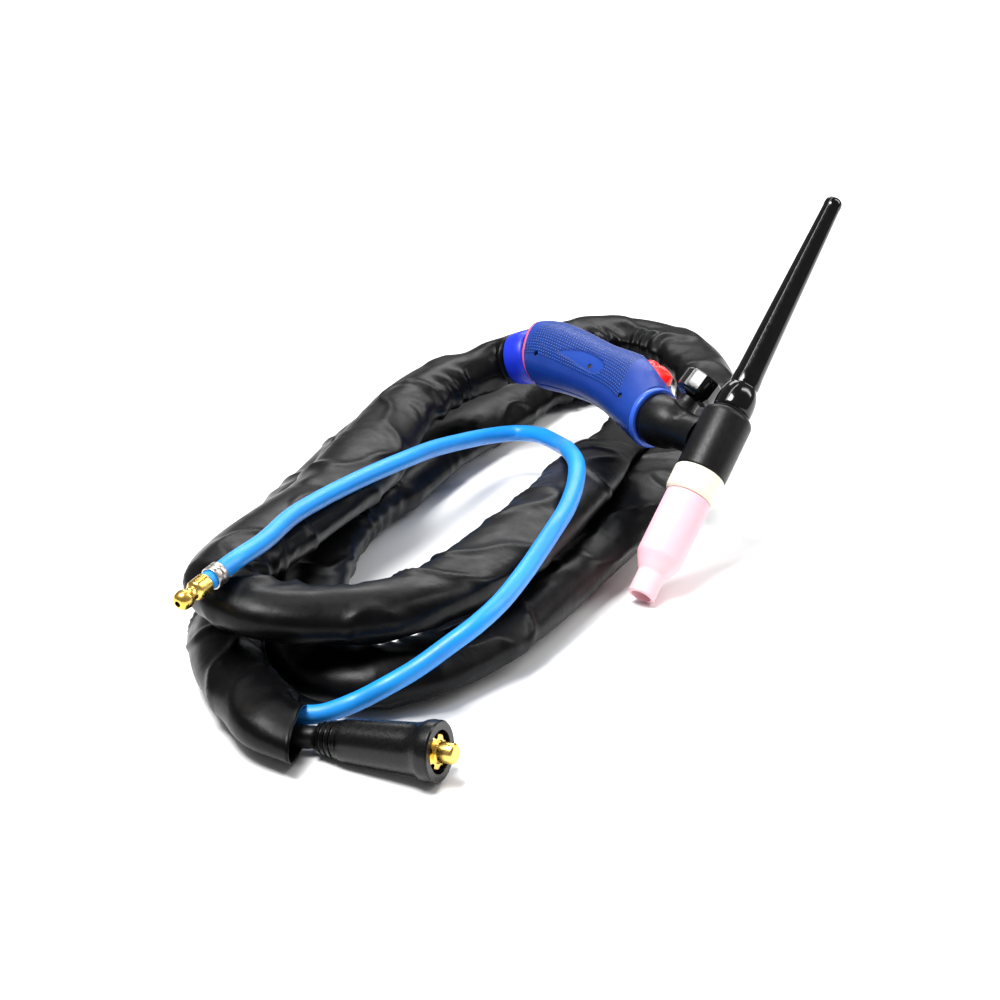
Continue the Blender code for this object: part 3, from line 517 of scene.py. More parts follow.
def blue_grip():
    """Satin blue with fields of fine raised dots, painted shade between the dots and a painted shade line
    around the inset panels; the mesh says where the dots and the inset panels are.
    """
    made = bpy.data.materials.new("blue_grip")
    made.use_nodes = True
    tree = made.node_tree
    shader = tree.nodes["Principled BSDF"]
    skin = tree.nodes.new("ShaderNodeAttribute")
    skin.attribute_name = "skin"
    place = tree.nodes.new("ShaderNodeSeparateXYZ")
    tree.links.new(skin.outputs["Vector"], place.inputs[0])
    zones = tree.nodes.new("ShaderNodeAttribute")
    zones.attribute_name = "zones"
    zone = tree.nodes.new("ShaderNodeSeparateXYZ")
    tree.links.new(zones.outputs["Vector"], zone.inputs[0])
    dots = dot_field(tree, place.outputs["X"], place.outputs["Y"])
    dotted = math_node(tree, "MULTIPLY", dots, zone.outputs["X"])
    coordinates = tree.nodes.new("ShaderNodeTexCoord").outputs["Object"]
    broad = spread(tree, noise_of(tree, coordinates, 20.0), 0.0, 1.0)
    smooth = mix_colours(tree, broad, linear("113A92"), linear("0D3284"))
    # painted shade: dark colour between the raised dots and lighter colour on their tops, standing in for shade
    # and light on the dots
    dots_with_painted_shade = mix_colours(tree, dots, linear("022468"), linear("0C4CAC"))
    plain = mix_colours(tree, zone.outputs["X"], smooth, dots_with_painted_shade)
    panelled = mix_colours(tree, zone.outputs["Y"], plain, linear("123C94"))
    # painted shade: a dark line along the edge of each inset panel, where the step would be shaded
    panel_edge_painted_shade = mix_colours(tree, zone.outputs["Z"], panelled, linear("06205C"))
    tree.links.new(panel_edge_painted_shade, shader.inputs["Base Color"])
    tree.links.new(spread(tree, noise_of(tree, coordinates, 1.5), 0.36, 0.5), shader.inputs["Roughness"])
    shader.inputs["Specular IOR Level"].default_value = 0.35
    grain = bump_from(tree, noise_of(tree, coordinates, 0.5), 0.01, 0.6)
    tree.links.new(bump_from(tree, dotted, 0.22, 1.0, grain), shader.inputs["Normal"])
    return made


def dot_field(tree, along, around):
    """Height of round dots in a staggered grid, 0 between them and 1 on their tops."""
    spacing = 1.8
    radius = 0.62
    row_pitch = spacing * math.sqrt(3)
    heights = []
    for shift in (0.0, 0.5):
        near = []
        for value, pitch in ((along, spacing), (around, row_pitch)):
            cell = math_node(tree, "ADD", math_node(tree, "DIVIDE", value, pitch), shift)
            offset = math_node(tree, "SUBTRACT", math_node(tree, "FRACT", cell), 0.5)
            near.append(math_node(tree, "POWER", math_node(tree, "MULTIPLY", offset, pitch / radius), 2))
        distance = math_node(tree, "ADD", near[0], near[1])
        heights.append(math_node(tree, "SUBTRACT", 1.0, distance, clamp=True))
    return math_node(tree, "MAXIMUM", heights[0], heights[1])


FINISHES = {builder.__name__: builder() for builder in (
    black_rubber, black_phenolic, dark_nylon, ivory_gasket, pink_alumina, red_trigger, royal_blue,
    light_blue_lip, coral_ring, plug_rubber, hose_skin, brass, copper, steel, tungsten, sleeve_leather,
    blue_grip)}


# ---- head ----------------------------------------------------------------------------------------
def build_head():
    turned("head_body", (
        ((5.0, HEAD_BOTTOM + 0.5), (HEAD_RADIUS - 0.3, HEAD_BOTTOM)),
        ((HEAD_RADIUS, HEAD_BOTTOM + 0.5), (HEAD_RADIUS, HEAD_TOP - 3.6)),
        ((HEAD_RADIUS - 0.1, HEAD_TOP - 2.6), (HEAD_RADIUS - 0.7, HEAD_TOP - 1.2),
         (HEAD_RADIUS - 1.6, HEAD_TOP - 0.4), (HEAD_RADIUS - 2.8, HEAD_TOP)),
        ((8.3, HEAD_TOP), (8.3, HEAD_TOP - 2.0)), ((5.0, HEAD_TOP - 2.0), (5.0, HEAD_BOTTOM + 0.5))),
        HEAD, FINISHES["black_rubber"], "root", ["head_jacket"], 0.2)
    gasket_top = HEAD_BOTTOM - GAP
    gasket_low = gasket_top - GASKET_HEIGHT
    turned("gasket", (
        ((CORE_BORE, gasket_top), (GASKET_RADIUS - 0.3, gasket_top)),
        ((GASKET_RADIUS, gasket_top - 0.4), (GASKET_RADIUS, gasket_low + 3.4)),
        ((GASKET_RADIUS - 0.1, gasket_low + 2.4), (GASKET_RADIUS - 0.5, gasket_low + 1.2),
         (CUP_RADIUS, gasket_low)),
        ((CORE_BORE, gasket_low), (CORE_BORE, gasket_top))),
        HEAD, FINISHES["ivory_gasket"], "root", ["cup_gasket"])
    build_cup(gasket_low - GAP)
    build_cap()


def build_cup(top):
    tip = top - CUP_LENGTH
    turned("nozzle", (
        ((CORE_BORE, top), (CUP_RADIUS - 0.3, top)),
        ((CUP_RADIUS, top - 0.5), (CUP_RADIUS, tip + 22.0)),
        ((CUP_RADIUS - 0.1, tip + 20.8), (CUP_RADIUS - 0.8, tip + 19.0), (CUP_MOUTH_RADIUS + 1.4, tip + 14.2),
         (CUP_MOUTH_RADIUS + 0.2, tip + 12.2), (CUP_MOUTH_RADIUS, tip + 10.4)),
        ((CUP_MOUTH_RADIUS, tip + 0.4), (CUP_MOUTH_RADIUS - 0.4, tip)),
        ((CUP_MOUTH_RADIUS - CUP_WALL, tip), (CUP_MOUTH_RADIUS - CUP_WALL, tip + 12.0)),
        ((CUP_RADIUS - 2.6, tip + 20.0), (CUP_RADIUS - 2.6, top - 8.0)),
        ((CORE_BORE, top - 5.0), (CORE_BORE, top))),
        HEAD, FINISHES["pink_alumina"], "cup", ["nozzle_cup"])


def build_cap():
    top = CAP_LOW + CAP_LENGTH
    turned("back_cap_long", (
        ((0, CAP_LOW + 20.0), (2.7, CAP_LOW + 20.0)), ((2.7, CAP_LOW), (9.0, CAP_LOW)),
        ((9.3, CAP_LOW + 0.2), (9.8, CAP_LOW + 1.4), (9.9, CAP_LOW + 4.0), (9.75, CAP_LOW + 6.6),
         (9.3, CAP_LOW + 9.4), (8.4, CAP_LOW + 12.2), (7.5, CAP_LOW + 14.0)),
        ((7.35, CAP_LOW + 14.6), (7.5, CAP_LOW + 16.4), (7.45, CAP_LOW + 19.0), (7.2, CAP_LOW + 22.0)),
        ((7.1, CAP_LOW + 23.0), (4.5, top - 6.4)),
        ((4.5, top - 5.6), (4.62, top - 4.4), (4.55, top - 2.6), (4.1, top - 1.2), (3.0, top - 0.25),
         (0, top))),
        HEAD, FINISHES["black_phenolic"], "cap", ["back_cap"], 0.12)


# ---- neck and valve ------------------------------------------------------------------------------
def neck_shape(point):
    """A shallow dimple on the neck's right-hand side."""
    turn = math.degrees(math.atan2(point.y, point.x))
    away = ((turn + 62) / 20) ** 2 + ((point.z - 25.5) / 3.2) ** 2
    sink = 1.5 * math.exp(-away)
    radial = Vector((point.x, point.y, 0))
    if radial.length < 7:
        return point
    return point - radial.normalized() * sink


def build_neck():
    turned("neck_boot", (
        ((5.4, HEAD_RADIUS - 3.0), (10.6, HEAD_RADIUS - 3.0)),
        ((10.4, HEAD_RADIUS), (9.9, HEAD_RADIUS + 4.0), (9.7, 20.0), (9.8, 24.0), (10.2, 28.0), (10.7, 30.0)),
        ((10.9, 30.4), (12.0, 33.2), (12.8, 36.8), (13.2, 41.0), (13.1, 45.4)),
        ((11.6, 48.0), (11.2, 51.5)), ((5.4, 51.5), (5.4, HEAD_RADIUS - 3.0))),
        GRIP, FINISHES["black_rubber"], "root", ["neck_jacket"], 0.2, neck_shape, 8)
    turned("valve_seat", (((2.4, 8.0), (6.6, 8.0)), ((6.6, 9.4), (6.0, 11.4), (5.5, 13.4), (5.4, 16.2)),
                          ((2.4, 16.2), (2.4, 8.0))),
           VALVE, FINISHES["black_rubber"], "root", ["valve_body"])
    build_knob()


def build_knob():
    """Eight-sided knob with a turned recess for its screw."""
    bm = bmesh.new()
    top = KNOB_BOTTOM + KNOB_HEIGHT
    facet = 2 * math.pi / KNOB_SIDES
    rings = []
    for scale, height in ((0.82, KNOB_BOTTOM), (0.9, KNOB_BOTTOM + 1.4), (0.985, KNOB_BOTTOM + 2.0),
                          (1.0, KNOB_BOTTOM + 3.0), (1.0, top - 0.7), (0.94, top)):
        ring = []
        for i in range(96):
            turn = 2 * math.pi * i / 96
            flat = math.cos(facet / 2) / math.cos((turn % facet) - facet / 2)
            radius = scale * KNOB_RADIUS * (0.3 + 0.7 * flat)
            ring.append(Vector((radius * math.cos(turn), radius * math.sin(turn), height)))
        rings.append(ring)
    loft(bm, rings)
    knob = mesh_piece("knob", bm, VALVE, FINISHES["black_phenolic"], "valve", ["valve_knob"],
                      0.2)
    recess = bmesh.new()
    add_turned(recess, rod(2.1 + GAP, KNOB_BOTTOM - 1, KNOB_BOTTOM + 7.3), 48)
    add_turned(recess, rod(2.6, top - 2.4, top + 1), 48)
    cut(knob, recess, VALVE, "knob_recess")


# ---- handle --------------------------------------------------------------------------------------
def section_point(section, turn, inset):
    """A point of the handle's rounded section; turn 0 is the side and 90 degrees is the top."""
    _, centre, half_height, half_width, _ = section
    c = math.cos(turn)
    s = math.sin(turn)
    power = 2 / SECTION_POWER
    across = (half_width - inset) * abs(c) ** power
    up = centre + (half_height - inset) * math.copysign(abs(s) ** power, s)
    return across, up


def panel_depth(along, around):
    """1 inside the leaf-shaped panel on each side of the handle and 0 outside it, with a soft edge."""
    share = (along - PANEL_FRONT) / (PANEL_REAR - PANEL_FRONT)
    if not 0 < share < 1:
        return 0.0
    arch = 5.6 * math.sqrt(math.sin(math.pi * min(share + 0.04, 1.0)))
    top = arch - 1.2 - 5.4 * share ** 2
    low = -7.6 + 4.0 * share + 7.0 * max(0.12 - share, 0.0) ** 0.5
    inside = min(top - around, around - low)
    return smoothstep(0.0, 0.8, inside)


def half_handle(name, side, node):
    """One moulded half: side is -1 for the right half and +1 for the left half."""
    bm = bmesh.new()
    skin = bm.verts.layers.float_vector.new("skin")
    zones = bm.verts.layers.float_vector.new("zones")
    steps = 110
    sections = smooth_through(HANDLE_SECTIONS, 22)
    rows = []
    for number, section in enumerate(sections):
        inner = []
        outer = []
        edge = min(number, len(sections) - 1 - number)
        rim = 0.5 * max(0.0, 1 - edge / 2) ** 2
        spots = [section_point(section, math.radians(-90 + 180 * i / steps), rim) for i in range(steps + 1)]
        arc = [0.0]
        for (x0, y0), (x1, y1) in zip(spots, spots[1:]):
            arc.append(arc[-1] + math.hypot(x1 - x0, y1 - y0))
        for i, (across, up) in enumerate(spots):
            turn = math.radians(-90 + 180 * i / steps)
            around = arc[i] - arc[steps // 2]
            along = section[0] + section[4] * (up - section[1])
            panel = panel_depth(along, around)
            groove = max(0.0, 1 - min(i, steps - i) / 1.5)
            sink = 0.55 * panel + 0.45 * groove
            middle = section[1]
            out = Vector((up - middle, max(across, 0.0)))
            scale = max(out.length - sink, 0.1) / max(out.length, 0.1)
            vert = bm.verts.new((middle + out.x * scale, side * (out.y * scale + 0.06), along))
            vert[skin] = (along, around, 0.0)
            # line peaks at the panel's edge and carries the painted shade line drawn there on the grip
            line = 4 * panel * (1 - panel)
            front = smoothstep(70.0, 71.5, along + 0.35 * abs(around - 14))
            rear = 1 - smoothstep(145.5, 147.0, along)
            high = smoothstep(-9.5, -8.5, around) * (1 - panel)
            vert[zones] = (front * rear * high, panel, line)
            outer.append(vert)
            inside_across, inside_up = section_point(section, turn, WALL)
            under = bm.verts.new((inside_up, side * (max(inside_across, 0.0) + 0.06), along))
            inner.append(under)
        rows.append((outer, inner))
    for (outer_a, inner_a), (outer_b, inner_b) in zip(rows, rows[1:]):
        for i in range(steps):
            bm.faces.new((outer_a[i], outer_a[i + 1], outer_b[i + 1], outer_b[i]))
            bm.faces.new((inner_a[i + 1], inner_a[i], inner_b[i], inner_b[i + 1]))
        for i in (0, steps):
            bm.faces.new((outer_a[i], outer_b[i], inner_b[i], inner_a[i]))
    for outer, inner in (rows[0], rows[-1]):
        for i in range(steps):
            bm.faces.new((outer[i], outer[i + 1], inner[i + 1], inner[i]))
    piece = mesh_piece(name, bm, GRIP, FINISHES["blue_grip"], "root", [node], 0)
    cut(piece, slot_cutter(), GRIP, "slot_cutter")
    if side < 0:
        holes = bmesh.new()
        for at, height in zip(SCREW_AT, SCREW_HEIGHT):
            add_turned(holes, rod(SCREW_HOLE, -24, -6), 40, (height, 0, at), "Y")
        cut(piece, holes, GRIP, "screw_holes")
    return piece


def slot_cutter():
    """Rounded opening for the trigger on top of the handle."""
    bm = bmesh.new()
    rings = []
    for height in (12.0, 44.0):
        ring = []
        for i in range(64):
            turn = 2 * math.pi * i / 64
            c = math.cos(turn)
            s = math.sin(turn)
            along = TRIGGER_AT + (TRIGGER_LENGTH / 2 + SLOT_ROOM) * math.copysign(abs(c) ** 0.9, c)
            aside = (TRIGGER_WIDTH / 2 + SLOT_SIDE_ROOM) * math.copysign(abs(s) ** 0.9, s)
            ring.append(Vector((height, aside, along)))
        rings.append(ring)
    loft(bm, rings)
    return bm


def build_handle():
    half_handle("handle_half_right", -1, "handle_shell_right")
    half_handle("handle_half_left", 1, "handle_shell_left")
    turned("front_lip", (
        ((13.0, RING_FRONT + 0.2), (14.2, RING_FRONT)),
        ((14.8, RING_FRONT + 0.1), (15.3, RING_FRONT + 0.6), (15.5, RING_FRONT + 1.4), (15.5, 48.7)),
        ((13.0, 48.7), (13.0, RING_FRONT + 0.2))),
        GRIP, FINISHES["light_blue_lip"], "root", ["front_ring"], 0.15)


def build_trigger():
    """Rocker with a smooth crown, a notch across it and a higher lobe behind the notch."""
    bm = bmesh.new()
    rings = []
    for step in range(61):
        share = -math.cos(math.pi * step / 60)
        along = share * TRIGGER_LENGTH / 2
        notch = 1.5 * math.exp(-((share + 0.12) / 0.16) ** 2)
        rear = 1.1 * math.exp(-((share - 0.5) / 0.32) ** 2)
        crown = TRIGGER_CROWN + rear - 3.2 * share * share - notch
        half = TRIGGER_WIDTH / 2 * math.sqrt(max(1 - (share * 0.97) ** 2, 0.05))
        ring = []
        for i in range(64):
            turn = 2 * math.pi * i / 64
            c = math.cos(turn)
            s = math.sin(turn)
            height = crown if s > 0 else 3.0
            up = height * math.copysign(abs(s) ** 0.66, s)
            ring.append(Vector((up + 0.5, half * math.copysign(abs(c) ** 0.72, c), along + TRIGGER_SHIFT)))
        rings.append(ring)
    loft(bm, rings)
    mesh_piece("trigger", bm, TRIGGER, FINISHES["red_trigger"], "trigger", ["trigger_rocker"],
               0)


# ---- knuckle -------------------------------------------------------------------------------------
def build_knuckle():
    section = HANDLE_SECTIONS[-1]
    end = section[0] + GAP
    bm = bmesh.new()
    rows = []
    profile = ((0.7, end), (0.5, end + 0.5), (0.6, end + 1.6), (1.2, end + 2.3), (3.4, end + 2.3), (3.4, end))
    for inset, at in profile:
        ring = []
        for i in range(128):
            turn = 2 * math.pi * i / 128
            across, up = section_point(section, turn, inset)
            along = at + section[4] * (up - section[1])
            ring.append(bm.verts.new((up, math.copysign(across, math.cos(turn)), along)))
        rows.append(ring)
    for low, high in zip(rows, rows[1:] + rows[:1]):
        for i in range(128):
            j = (i + 1) % 128
            bm.faces.new((low[i], low[j], high[j], high[i]))
    mesh_piece("coral_band", bm, GRIP, FINISHES["coral_ring"], "root", ["accent_ring"], 0.2)
    turned("swivel_collar", (
        ((12.3, 3.8), (COLLAR_RADIUS - 1.5, 3.6)),
        ((COLLAR_RADIUS - 1.0, 3.8), (COLLAR_RADIUS - 0.35, 4.7), (COLLAR_RADIUS, 6.4), (COLLAR_RADIUS, 9.0),
         (COLLAR_RADIUS - 0.35, COLLAR_END - 3.6), (COLLAR_RADIUS - 0.8, COLLAR_END - 1.0)),
        ((COLLAR_RADIUS - 1.1, COLLAR_END), (11.8, COLLAR_END)), ((11.2, 9.0), (12.3, 3.8))),
        KNUCKLE, FINISHES["royal_blue"], "collar", ["knuckle_collar"])


# ---- cords ---------------------------------------------------------------------------------------
def tube_curve(name, points, diameter, finish, node):
    curve = bpy.data.curves.new(name, "CURVE")
    curve.dimensions = "3D"
    curve.bevel_depth = diameter / 2 * MM
    curve.bevel_resolution = 8
    curve.use_fill_caps = True
    spline = curve.splines.new("POLY")
    spline.points.add(len(points) - 1)
    for place, point in zip(spline.points, points):
        place.co = (*(Vector(point) * MM), 1.0)
    return put_in_scene(name, curve, Matrix(), finish, "root", [node])


def sleeve_offsets(points):
    """Tangent, sideways and upward directions along the sleeve."""
    tangents = np.gradient(points, axis=0)
    tangents /= np.linalg.norm(tangents, axis=1)[:, None]
    side = np.cross(tangents, (0.0, 0.0, 1.0))
    side /= np.linalg.norm(side, axis=1)[:, None]
    return tangents, side, np.cross(side, tangents)


def bend_strength(tangents, side, step):
    """Signed curvature of the route in the flat, per millimetre: positive bends towards side."""
    turning = np.gradient(tangents, axis=0) / step
    raw = (turning * side).sum(axis=1)
    return np.convolve(raw, np.ones(15) / 15, mode="same")


def fold(position, along, angle, curl, towards):
    """Outward displacement in millimetres of a point of the sleeve."""
    soft = 2.6 * noise.noise(Vector((along / 70, math.cos(angle) * 0.8, math.sin(angle) * 0.8)))
    ridge = 1 - abs(noise.noise(position / 34 + Vector((7.3, 1.1, 4.2)))) * 5
    crease = 1.3 * max(ridge, 0.0) ** 1.5
    inner = max(towards, 0.0) ** 1.5 * min(abs(curl) / 0.016, 1.0)
    wobble = noise.noise(position / 22) * 7
    wrinkle = 1.5 * inner * math.sin(2 * math.pi * along / 17 + wobble)
    return soft + crease + wrinkle - 0.6


def keep_apart(rings, centres, step, clearance):
    """Presses the sleeve's strands flat where they meet, so that none passes into another."""
    apart = int(70 / step)
    for i, centre in enumerate(centres):
        away = np.linalg.norm(centres - centre, axis=1)
        away[max(i - apart, 0):i + apart] = 1e9
        for k in np.nonzero(away < STRAND_REACH)[0][::3]:
            direction = (centres[k] - centre) / away[k]
            over = (rings[i] - (centre + centres[k]) / 2) @ direction + clearance
            rings[i] -= np.maximum(over, 0.0)[:, None] * direction


def keep_clear_of(rings, line, radius):
    """Pushes the sleeve's surface out of a cord that lies on it."""
    flat = rings.reshape(-1, 3)
    for spot in line:
        offset = flat - spot
        away = np.linalg.norm(offset, axis=1)
        near = away < radius
        flat[near] += offset[near] / np.maximum(away[near], 0.1)[:, None] * (radius - away[near])[:, None]
    rings[:] = flat.reshape(rings.shape)


def sleeve_rings(centres, half_widths, hose):
    step = float(np.linalg.norm(centres[1] - centres[0]))
    tangents, side, up = sleeve_offsets(centres)
    curls = bend_strength(tangents, side, step)
    last = len(centres) - 1
    for i in range(last - int(MOUTH_LENGTH / step), last + 1):
        share = 1 - smoothstep(0.0, MOUTH_LENGTH, (last - i) * step)
        facing = Vector(tangents[i]).lerp(MOUTH_FACES, share).normalized()
        side[i] = facing.cross(Vector((0, 0, 1))).normalized()
        up[i] = (0.0, 0.0, 1.0)
    angles = np.arange(SLEEVE_AROUND) * 2 * math.pi / SLEEVE_AROUND
    rings = np.zeros((len(centres), SLEEVE_AROUND, 3))
    for i, centre in enumerate(centres):
        along = i * step
        opened = smoothstep(0.0, 45.0, along)
        wide = SLEEVE_NECK + (half_widths[i] - SLEEVE_NECK) * opened
        tall = SLEEVE_NECK + (SLEEVE_HALF_HEIGHT - SLEEVE_NECK) * opened
        slump = MOUTH_SLUMP * (1 - smoothstep(0.0, MOUTH_LENGTH, (last - i) * step))
        calm = smoothstep(0.0, 30.0, along) * (0.35 + 0.65 * smoothstep(0.0, 50.0, (len(centres) - i) * step))
        for k, angle in enumerate(angles):
            c = math.cos(angle)
            s = math.sin(angle)
            outward = c * side[i] + s * up[i]
            lift = (tall - slump) * math.copysign(abs(s) ** 0.92, s) - slump
            spot = centre + wide * c * side[i] + lift * up[i]
            towards = c * math.copysign(1.0, curls[i])
            rings[i, k] = spot + calm * fold(Vector(spot), along, angle, curls[i], towards) * outward
    keep_apart(rings, centres, step, 0.4)
    keep_clear_of(rings, hose, HOSE_DIAMETER / 2 + 0.6)
    rings[:, :, 2] = np.maximum(rings[:, :, 2], FLOOR_GAP)
    return rings


def build_sleeve(centres, half_widths, hose):
    """Flattened leather tube with folds and wrinkles, open at its far end with an inner wall."""
    rings = sleeve_rings(centres, half_widths, hose)
    inside = []
    for i in range(len(rings) - 1, len(rings) - SLEEVE_INNER_RINGS, -1):
        outward = rings[i] - centres[i]
        reach = np.linalg.norm(outward, axis=1)[:, None]
        inside.append(centres[i] + outward * (reach - SLEEVE_WALL) / reach)
    bm = bmesh.new()
    loft(bm, [[Vector(p) for p in ring] for ring in (*rings, *inside)])
    return mesh_piece("sleeve", bm, Matrix(), FINISHES["sleeve_leather"], "root", ["cable_sheath"],
                      0)


def build_cords():
    hose_centre = evenly(laid(HOSE_ROUTE), HOSE_POINTS)
    start = BALL + (COLLAR_END + GAP) * EXIT
    second = start + 9 * EXIT
    route = [(*start, SLEEVE_NECK), (*second, 13.5), *laid(SLEEVE_ROUTE)]
    sampled = evenly(route, SLEEVE_SAMPLES)
    centres = sampled[:, :3]
    hose_line = evenly([*laid(HOSE_INSIDE), *laid(HOSE_ROUTE)], HOSE_SAMPLES)
    sleeve = build_sleeve(centres, sampled[:, 3], hose_line[HOSE_HIDDEN_SAMPLES:])

    cable_line = evenly([*laid(CABLE_INSIDE), *laid(CABLE_ROUTE)], CABLE_SAMPLES)
    cable = tube_curve("power_lead", cable_line, CABLE_DIAMETER, FINISHES["black_rubber"], "power_cable")
    cable_points = [Vector(point) for point in laid(CABLE_ROUTE)]
    plug_axis = (cable_points[-1] - cable_points[-2]).normalized()
    plug_pieces = build_plug(frame_at(cable_points[-1] - 5.0 * plug_axis, plug_axis, Vector((0, 0, 1))))

    hose = tube_curve("hose", hose_line, HOSE_DIAMETER, FINISHES["hose_skin"], "gas_hose")
    hose_axis = Vector(hose_centre[-1] - hose_centre[-2]).normalized()
    hose_end = Vector(hose_centre[-1]) - 9.0 * hose_axis
    fittings = build_gas_end(frame_at(hose_end, hose_axis, Vector((0, 0, 1))))


def build_plug(plug):
    bore = CABLE_DIAMETER / 2 + GAP
    boot_runs = [((bore, 0.0), (6.5, 0.0)), ((6.9, 0.4), (7.2, 2.2))]
    for number in range(3):
        low = 2.5 + 2.8 * number
        radius = 6.5 + 0.5 * number
        boot_runs.append(((radius, low), (radius - 0.15, low + 0.35), (radius, low + 0.7)))
        boot_runs.append(((radius + 0.95, low + 1.0), (radius + 1.15, low + 2.5)))
    boot_runs.append(((8.7, 11.2), (bore, 11.2)))
    boot = turned("boot", boot_runs, plug, FINISHES["plug_rubber"], "root", ["plug_boot"],
                  0.12)
    housing = turned("plug_body", (
        ((PIN_SHANK + GAP, 11.3), (8.7, 11.3)),
        ((8.9, 11.5), (9.4, 12.8), (9.9, 20.0), (10.5, 32.0), (11.1, 44.0)),
        ((11.2, 45.4), (11.6, 47.6), (12.3, 49.4), (12.9, 50.8), (PLUG_RADIUS, 52.4)),
        ((PLUG_RADIUS, PLUG_FRONT - 0.8), (PLUG_RADIUS - 0.6, PLUG_FRONT)),
        ((9.2, PLUG_FRONT), (8.9, 49.3)), ((PIN_SHANK + GAP, 48.2), (PIN_SHANK + GAP, 11.3))),
        plug, FINISHES["plug_rubber"], "root", ["plug_housing"], 0.3)
    pin = turned("pin", (
        ((0, 14.0), (PIN_SHANK, 14.0)), ((PIN_SHANK, 48.6), (7.8, 50.2)), ((7.8, 55.0), (7.2, 55.8)),
        ((5.0, 56.2), (4.5, 57.0)),
        ((4.5, PIN_END - 1.6), (4.3, PIN_END - 0.7), (3.6, PIN_END - 0.15), (2.8, PIN_END)),
        ((2.0, PIN_END - 0.1), (0, PIN_END - 0.5))),
        plug, FINISHES["brass"], "root", ["plug_pin"], 0.15)
    notches = bmesh.new()
    for turn in range(0, 360, 60):
        c = math.cos(math.radians(turn))
        s = math.sin(math.radians(turn))
        add_turned(notches, rod(1.6, 51.0, 58.0), 24, (7.6 * c, 7.6 * s, 0))
    cut(pin, notches, plug, "pin_notches")
    return [boot, housing, pin, frame["nodes"]["plug_set_screw"]]


def build_gas_end(end):
    inner = HOSE_DIAMETER / 2 + GAP
    clamp = turned("ear_clamp", (
        ((inner, 0.0), (5.1, 0.0)), ((5.2, 0.2), (5.2, 2.0)), ((5.0, 2.3), (4.9, 3.0), (5.0, 3.7)),
        ((5.2, 4.0), (5.2, 5.8)), ((5.1, 6.0), (inner, 6.0))),
        end, FINISHES["steel"], "root", ["hose_clamp"], 0.1)
    plug = turned("brass_end", (
        ((0, 9.4), (4.5, 9.4)), ((4.6, 9.8), (4.6, 15.4), (4.4, 16.6), (3.7, 17.4), (3.15, 17.9)),
        ((3.1, 18.4), (3.1, 20.2)),
        ((3.3, 20.7), (3.9, 21.6), (4.35, 22.8), (4.4, 24.0), (4.1, 25.6), (3.4, 26.8), (2.6, 27.5)),
        ((2.3, 27.7), (1.4, 27.9)), ((1.4, 14.0), (0, 14.0))),
        end, FINISHES["brass"], "root", ["gas_plug"], 0.12)
    return [clamp, plug]


# ---- carried-over nodes --------------------------------------------------------------------------
def finish_cad_nodes():
    """Gives the CAD parts that stay a procedural finish of their own."""
    kept = {
        "head_core": "brass", "collet_body": "copper", "collet": "copper", "tungsten_electrode": "tungsten",
        "back_cap_o_ring": "black_rubber", "neck_tube": "brass", "valve_stem": "brass",
        "valve_o_ring": "black_rubber", "knob_screw": "steel", "trigger_pin": "steel",
        "switch_bracket": "dark_nylon", "micro_switch": "dark_nylon", "trigger_spring": "steel",
        "switch_plunger": "red_trigger", "knuckle_ball": "dark_nylon", "inner_cable": "black_rubber",
        "cable_ferrule": "brass", "plug_set_screw": "steel",
    }
    for name, node in frame["nodes"].items():
        finish = kept.get(name)
        if name.startswith("handle_screw"):
            finish = "dark_nylon"
        if name.startswith("screw_insert"):
            finish = "brass"
        if finish:
            node.data.materials.clear()
            node.data.materials.append(FINISHES[finish])


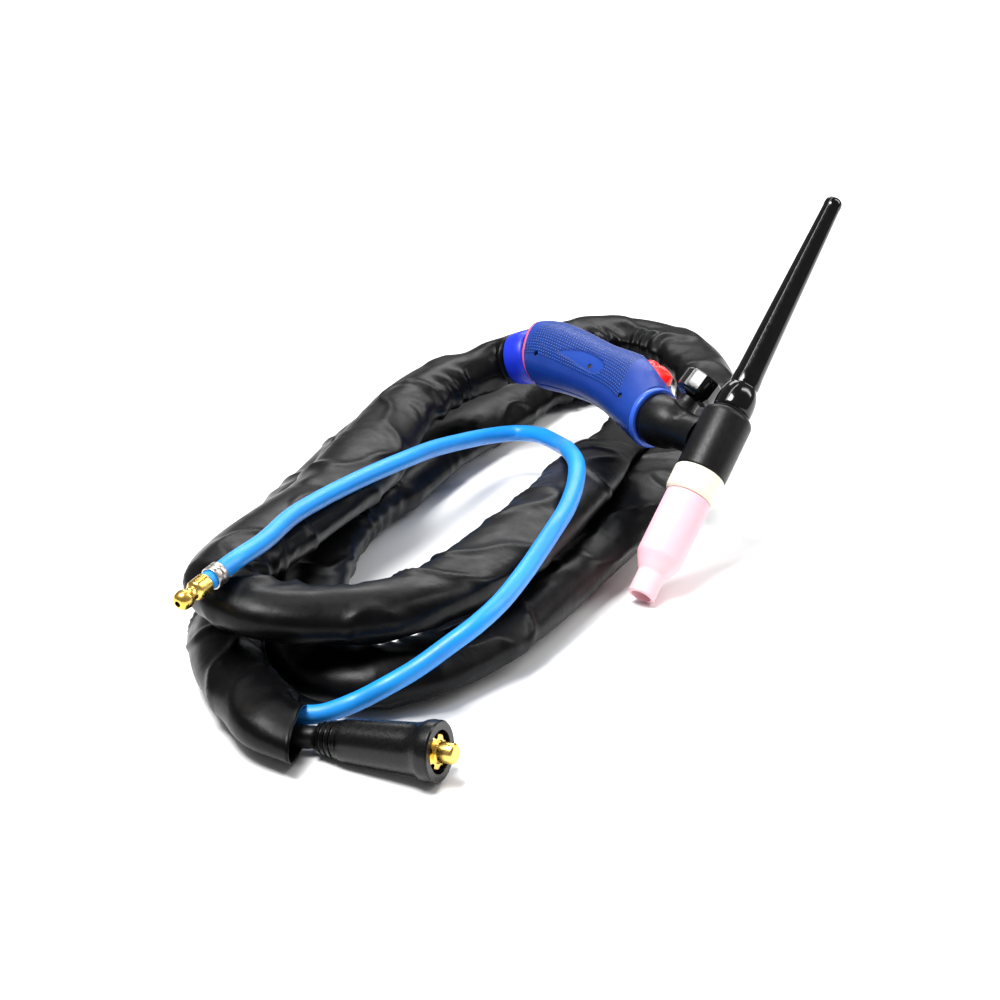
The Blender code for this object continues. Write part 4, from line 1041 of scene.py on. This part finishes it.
# ---- stage ---------------------------------------------------------------------------------------
def build_stage():
    bm = bmesh.new()
    bmesh.ops.create_grid(bm, x_segments=1, y_segments=1, size=6.0)
    mesh = bpy.data.meshes.new("floor")
    bm.to_mesh(mesh)
    bm.free()
    floor = bpy.data.objects.new("floor", mesh)
    bpy.context.scene.collection.objects.link(floor)
    mesh.materials.append(floor_paint())
    world = bpy.data.worlds.new("studio")
    world.use_nodes = True
    world.node_tree.nodes["Background"].inputs["Color"].default_value = (1.0, 1.0, 1.0, 1.0)
    world.node_tree.nodes["Background"].inputs["Strength"].default_value = 0.24
    bpy.context.scene.world = world
    area_light("key_softbox", (-0.55, -0.35, 1.5), (0.6, 0.6), 38)
    area_light("right_strip", (0.9, 0.1, 0.9), (0.2, 1.2), 9)
    area_light("back_softbox", (0.1, 1.1, 0.9), (1.2, 0.4), 11)
    cap_strip()


def floor_paint():
    made = bpy.data.materials.new("floor_paint")
    made.use_nodes = True
    tree = made.node_tree
    shader = tree.nodes["Principled BSDF"]
    shader.inputs["Base Color"].default_value = (0.93, 0.93, 0.93, 1.0)
    shader.inputs["Roughness"].default_value = 0.6
    shader.inputs["Specular IOR Level"].default_value = 0.2
    return made


def area_light(name, place, size, power):
    light = bpy.data.lights.new(name, "AREA")
    light.shape = "RECTANGLE"
    light.size = size[0]
    light.size_y = size[1]
    light.energy = power
    lamp = bpy.data.objects.new(name, light)
    bpy.context.scene.collection.objects.link(lamp)
    lamp.location = place
    aim = Vector((-0.06, -0.02, 0.04)) - Vector(place)
    lamp.rotation_euler = aim.to_track_quat("-Z", "Y").to_euler()
    return lamp


def cap_strip():
    """Narrow light that draws a streak along the back cap, from where the cap mirrors the camera's view."""
    middle = (TORCH + (CAP_LOW + CAP_LENGTH / 2) * CAP) * MM
    view = (Vector(CAMERA_PLACE) - middle).normalized()
    slant = view.dot(CAP)
    aside = Vector((-0.8, -0.35, 0.5))
    aside = (aside - aside.dot(CAP) * CAP).normalized()
    towards = math.sqrt(1 - slant * slant) * aside - slant * CAP
    lamp = area_light("cap_strip", middle + towards, (1.3, 0.06), 4)
    lamp.matrix_world = frame_at((middle + towards) / MM, towards, CAP)


def build_camera():
    camera = bpy.data.objects.new("camera", bpy.data.cameras.new("camera"))
    bpy.context.scene.collection.objects.link(camera)
    camera.data.lens = 85.0
    camera.data.sensor_width = 36.0
    camera.location = CAMERA_PLACE
    camera.rotation_euler = (math.radians(66.0), 0.0, 0.0)
    bpy.context.scene.camera = camera
    bpy.context.scene.view_settings.view_transform = "Standard"


def main():
    build_camera()
    build_stage()
    build_cords()
    build_head()
    build_neck()
    build_handle()
    build_trigger()
    build_knuckle()
    finish_cad_nodes()


main()
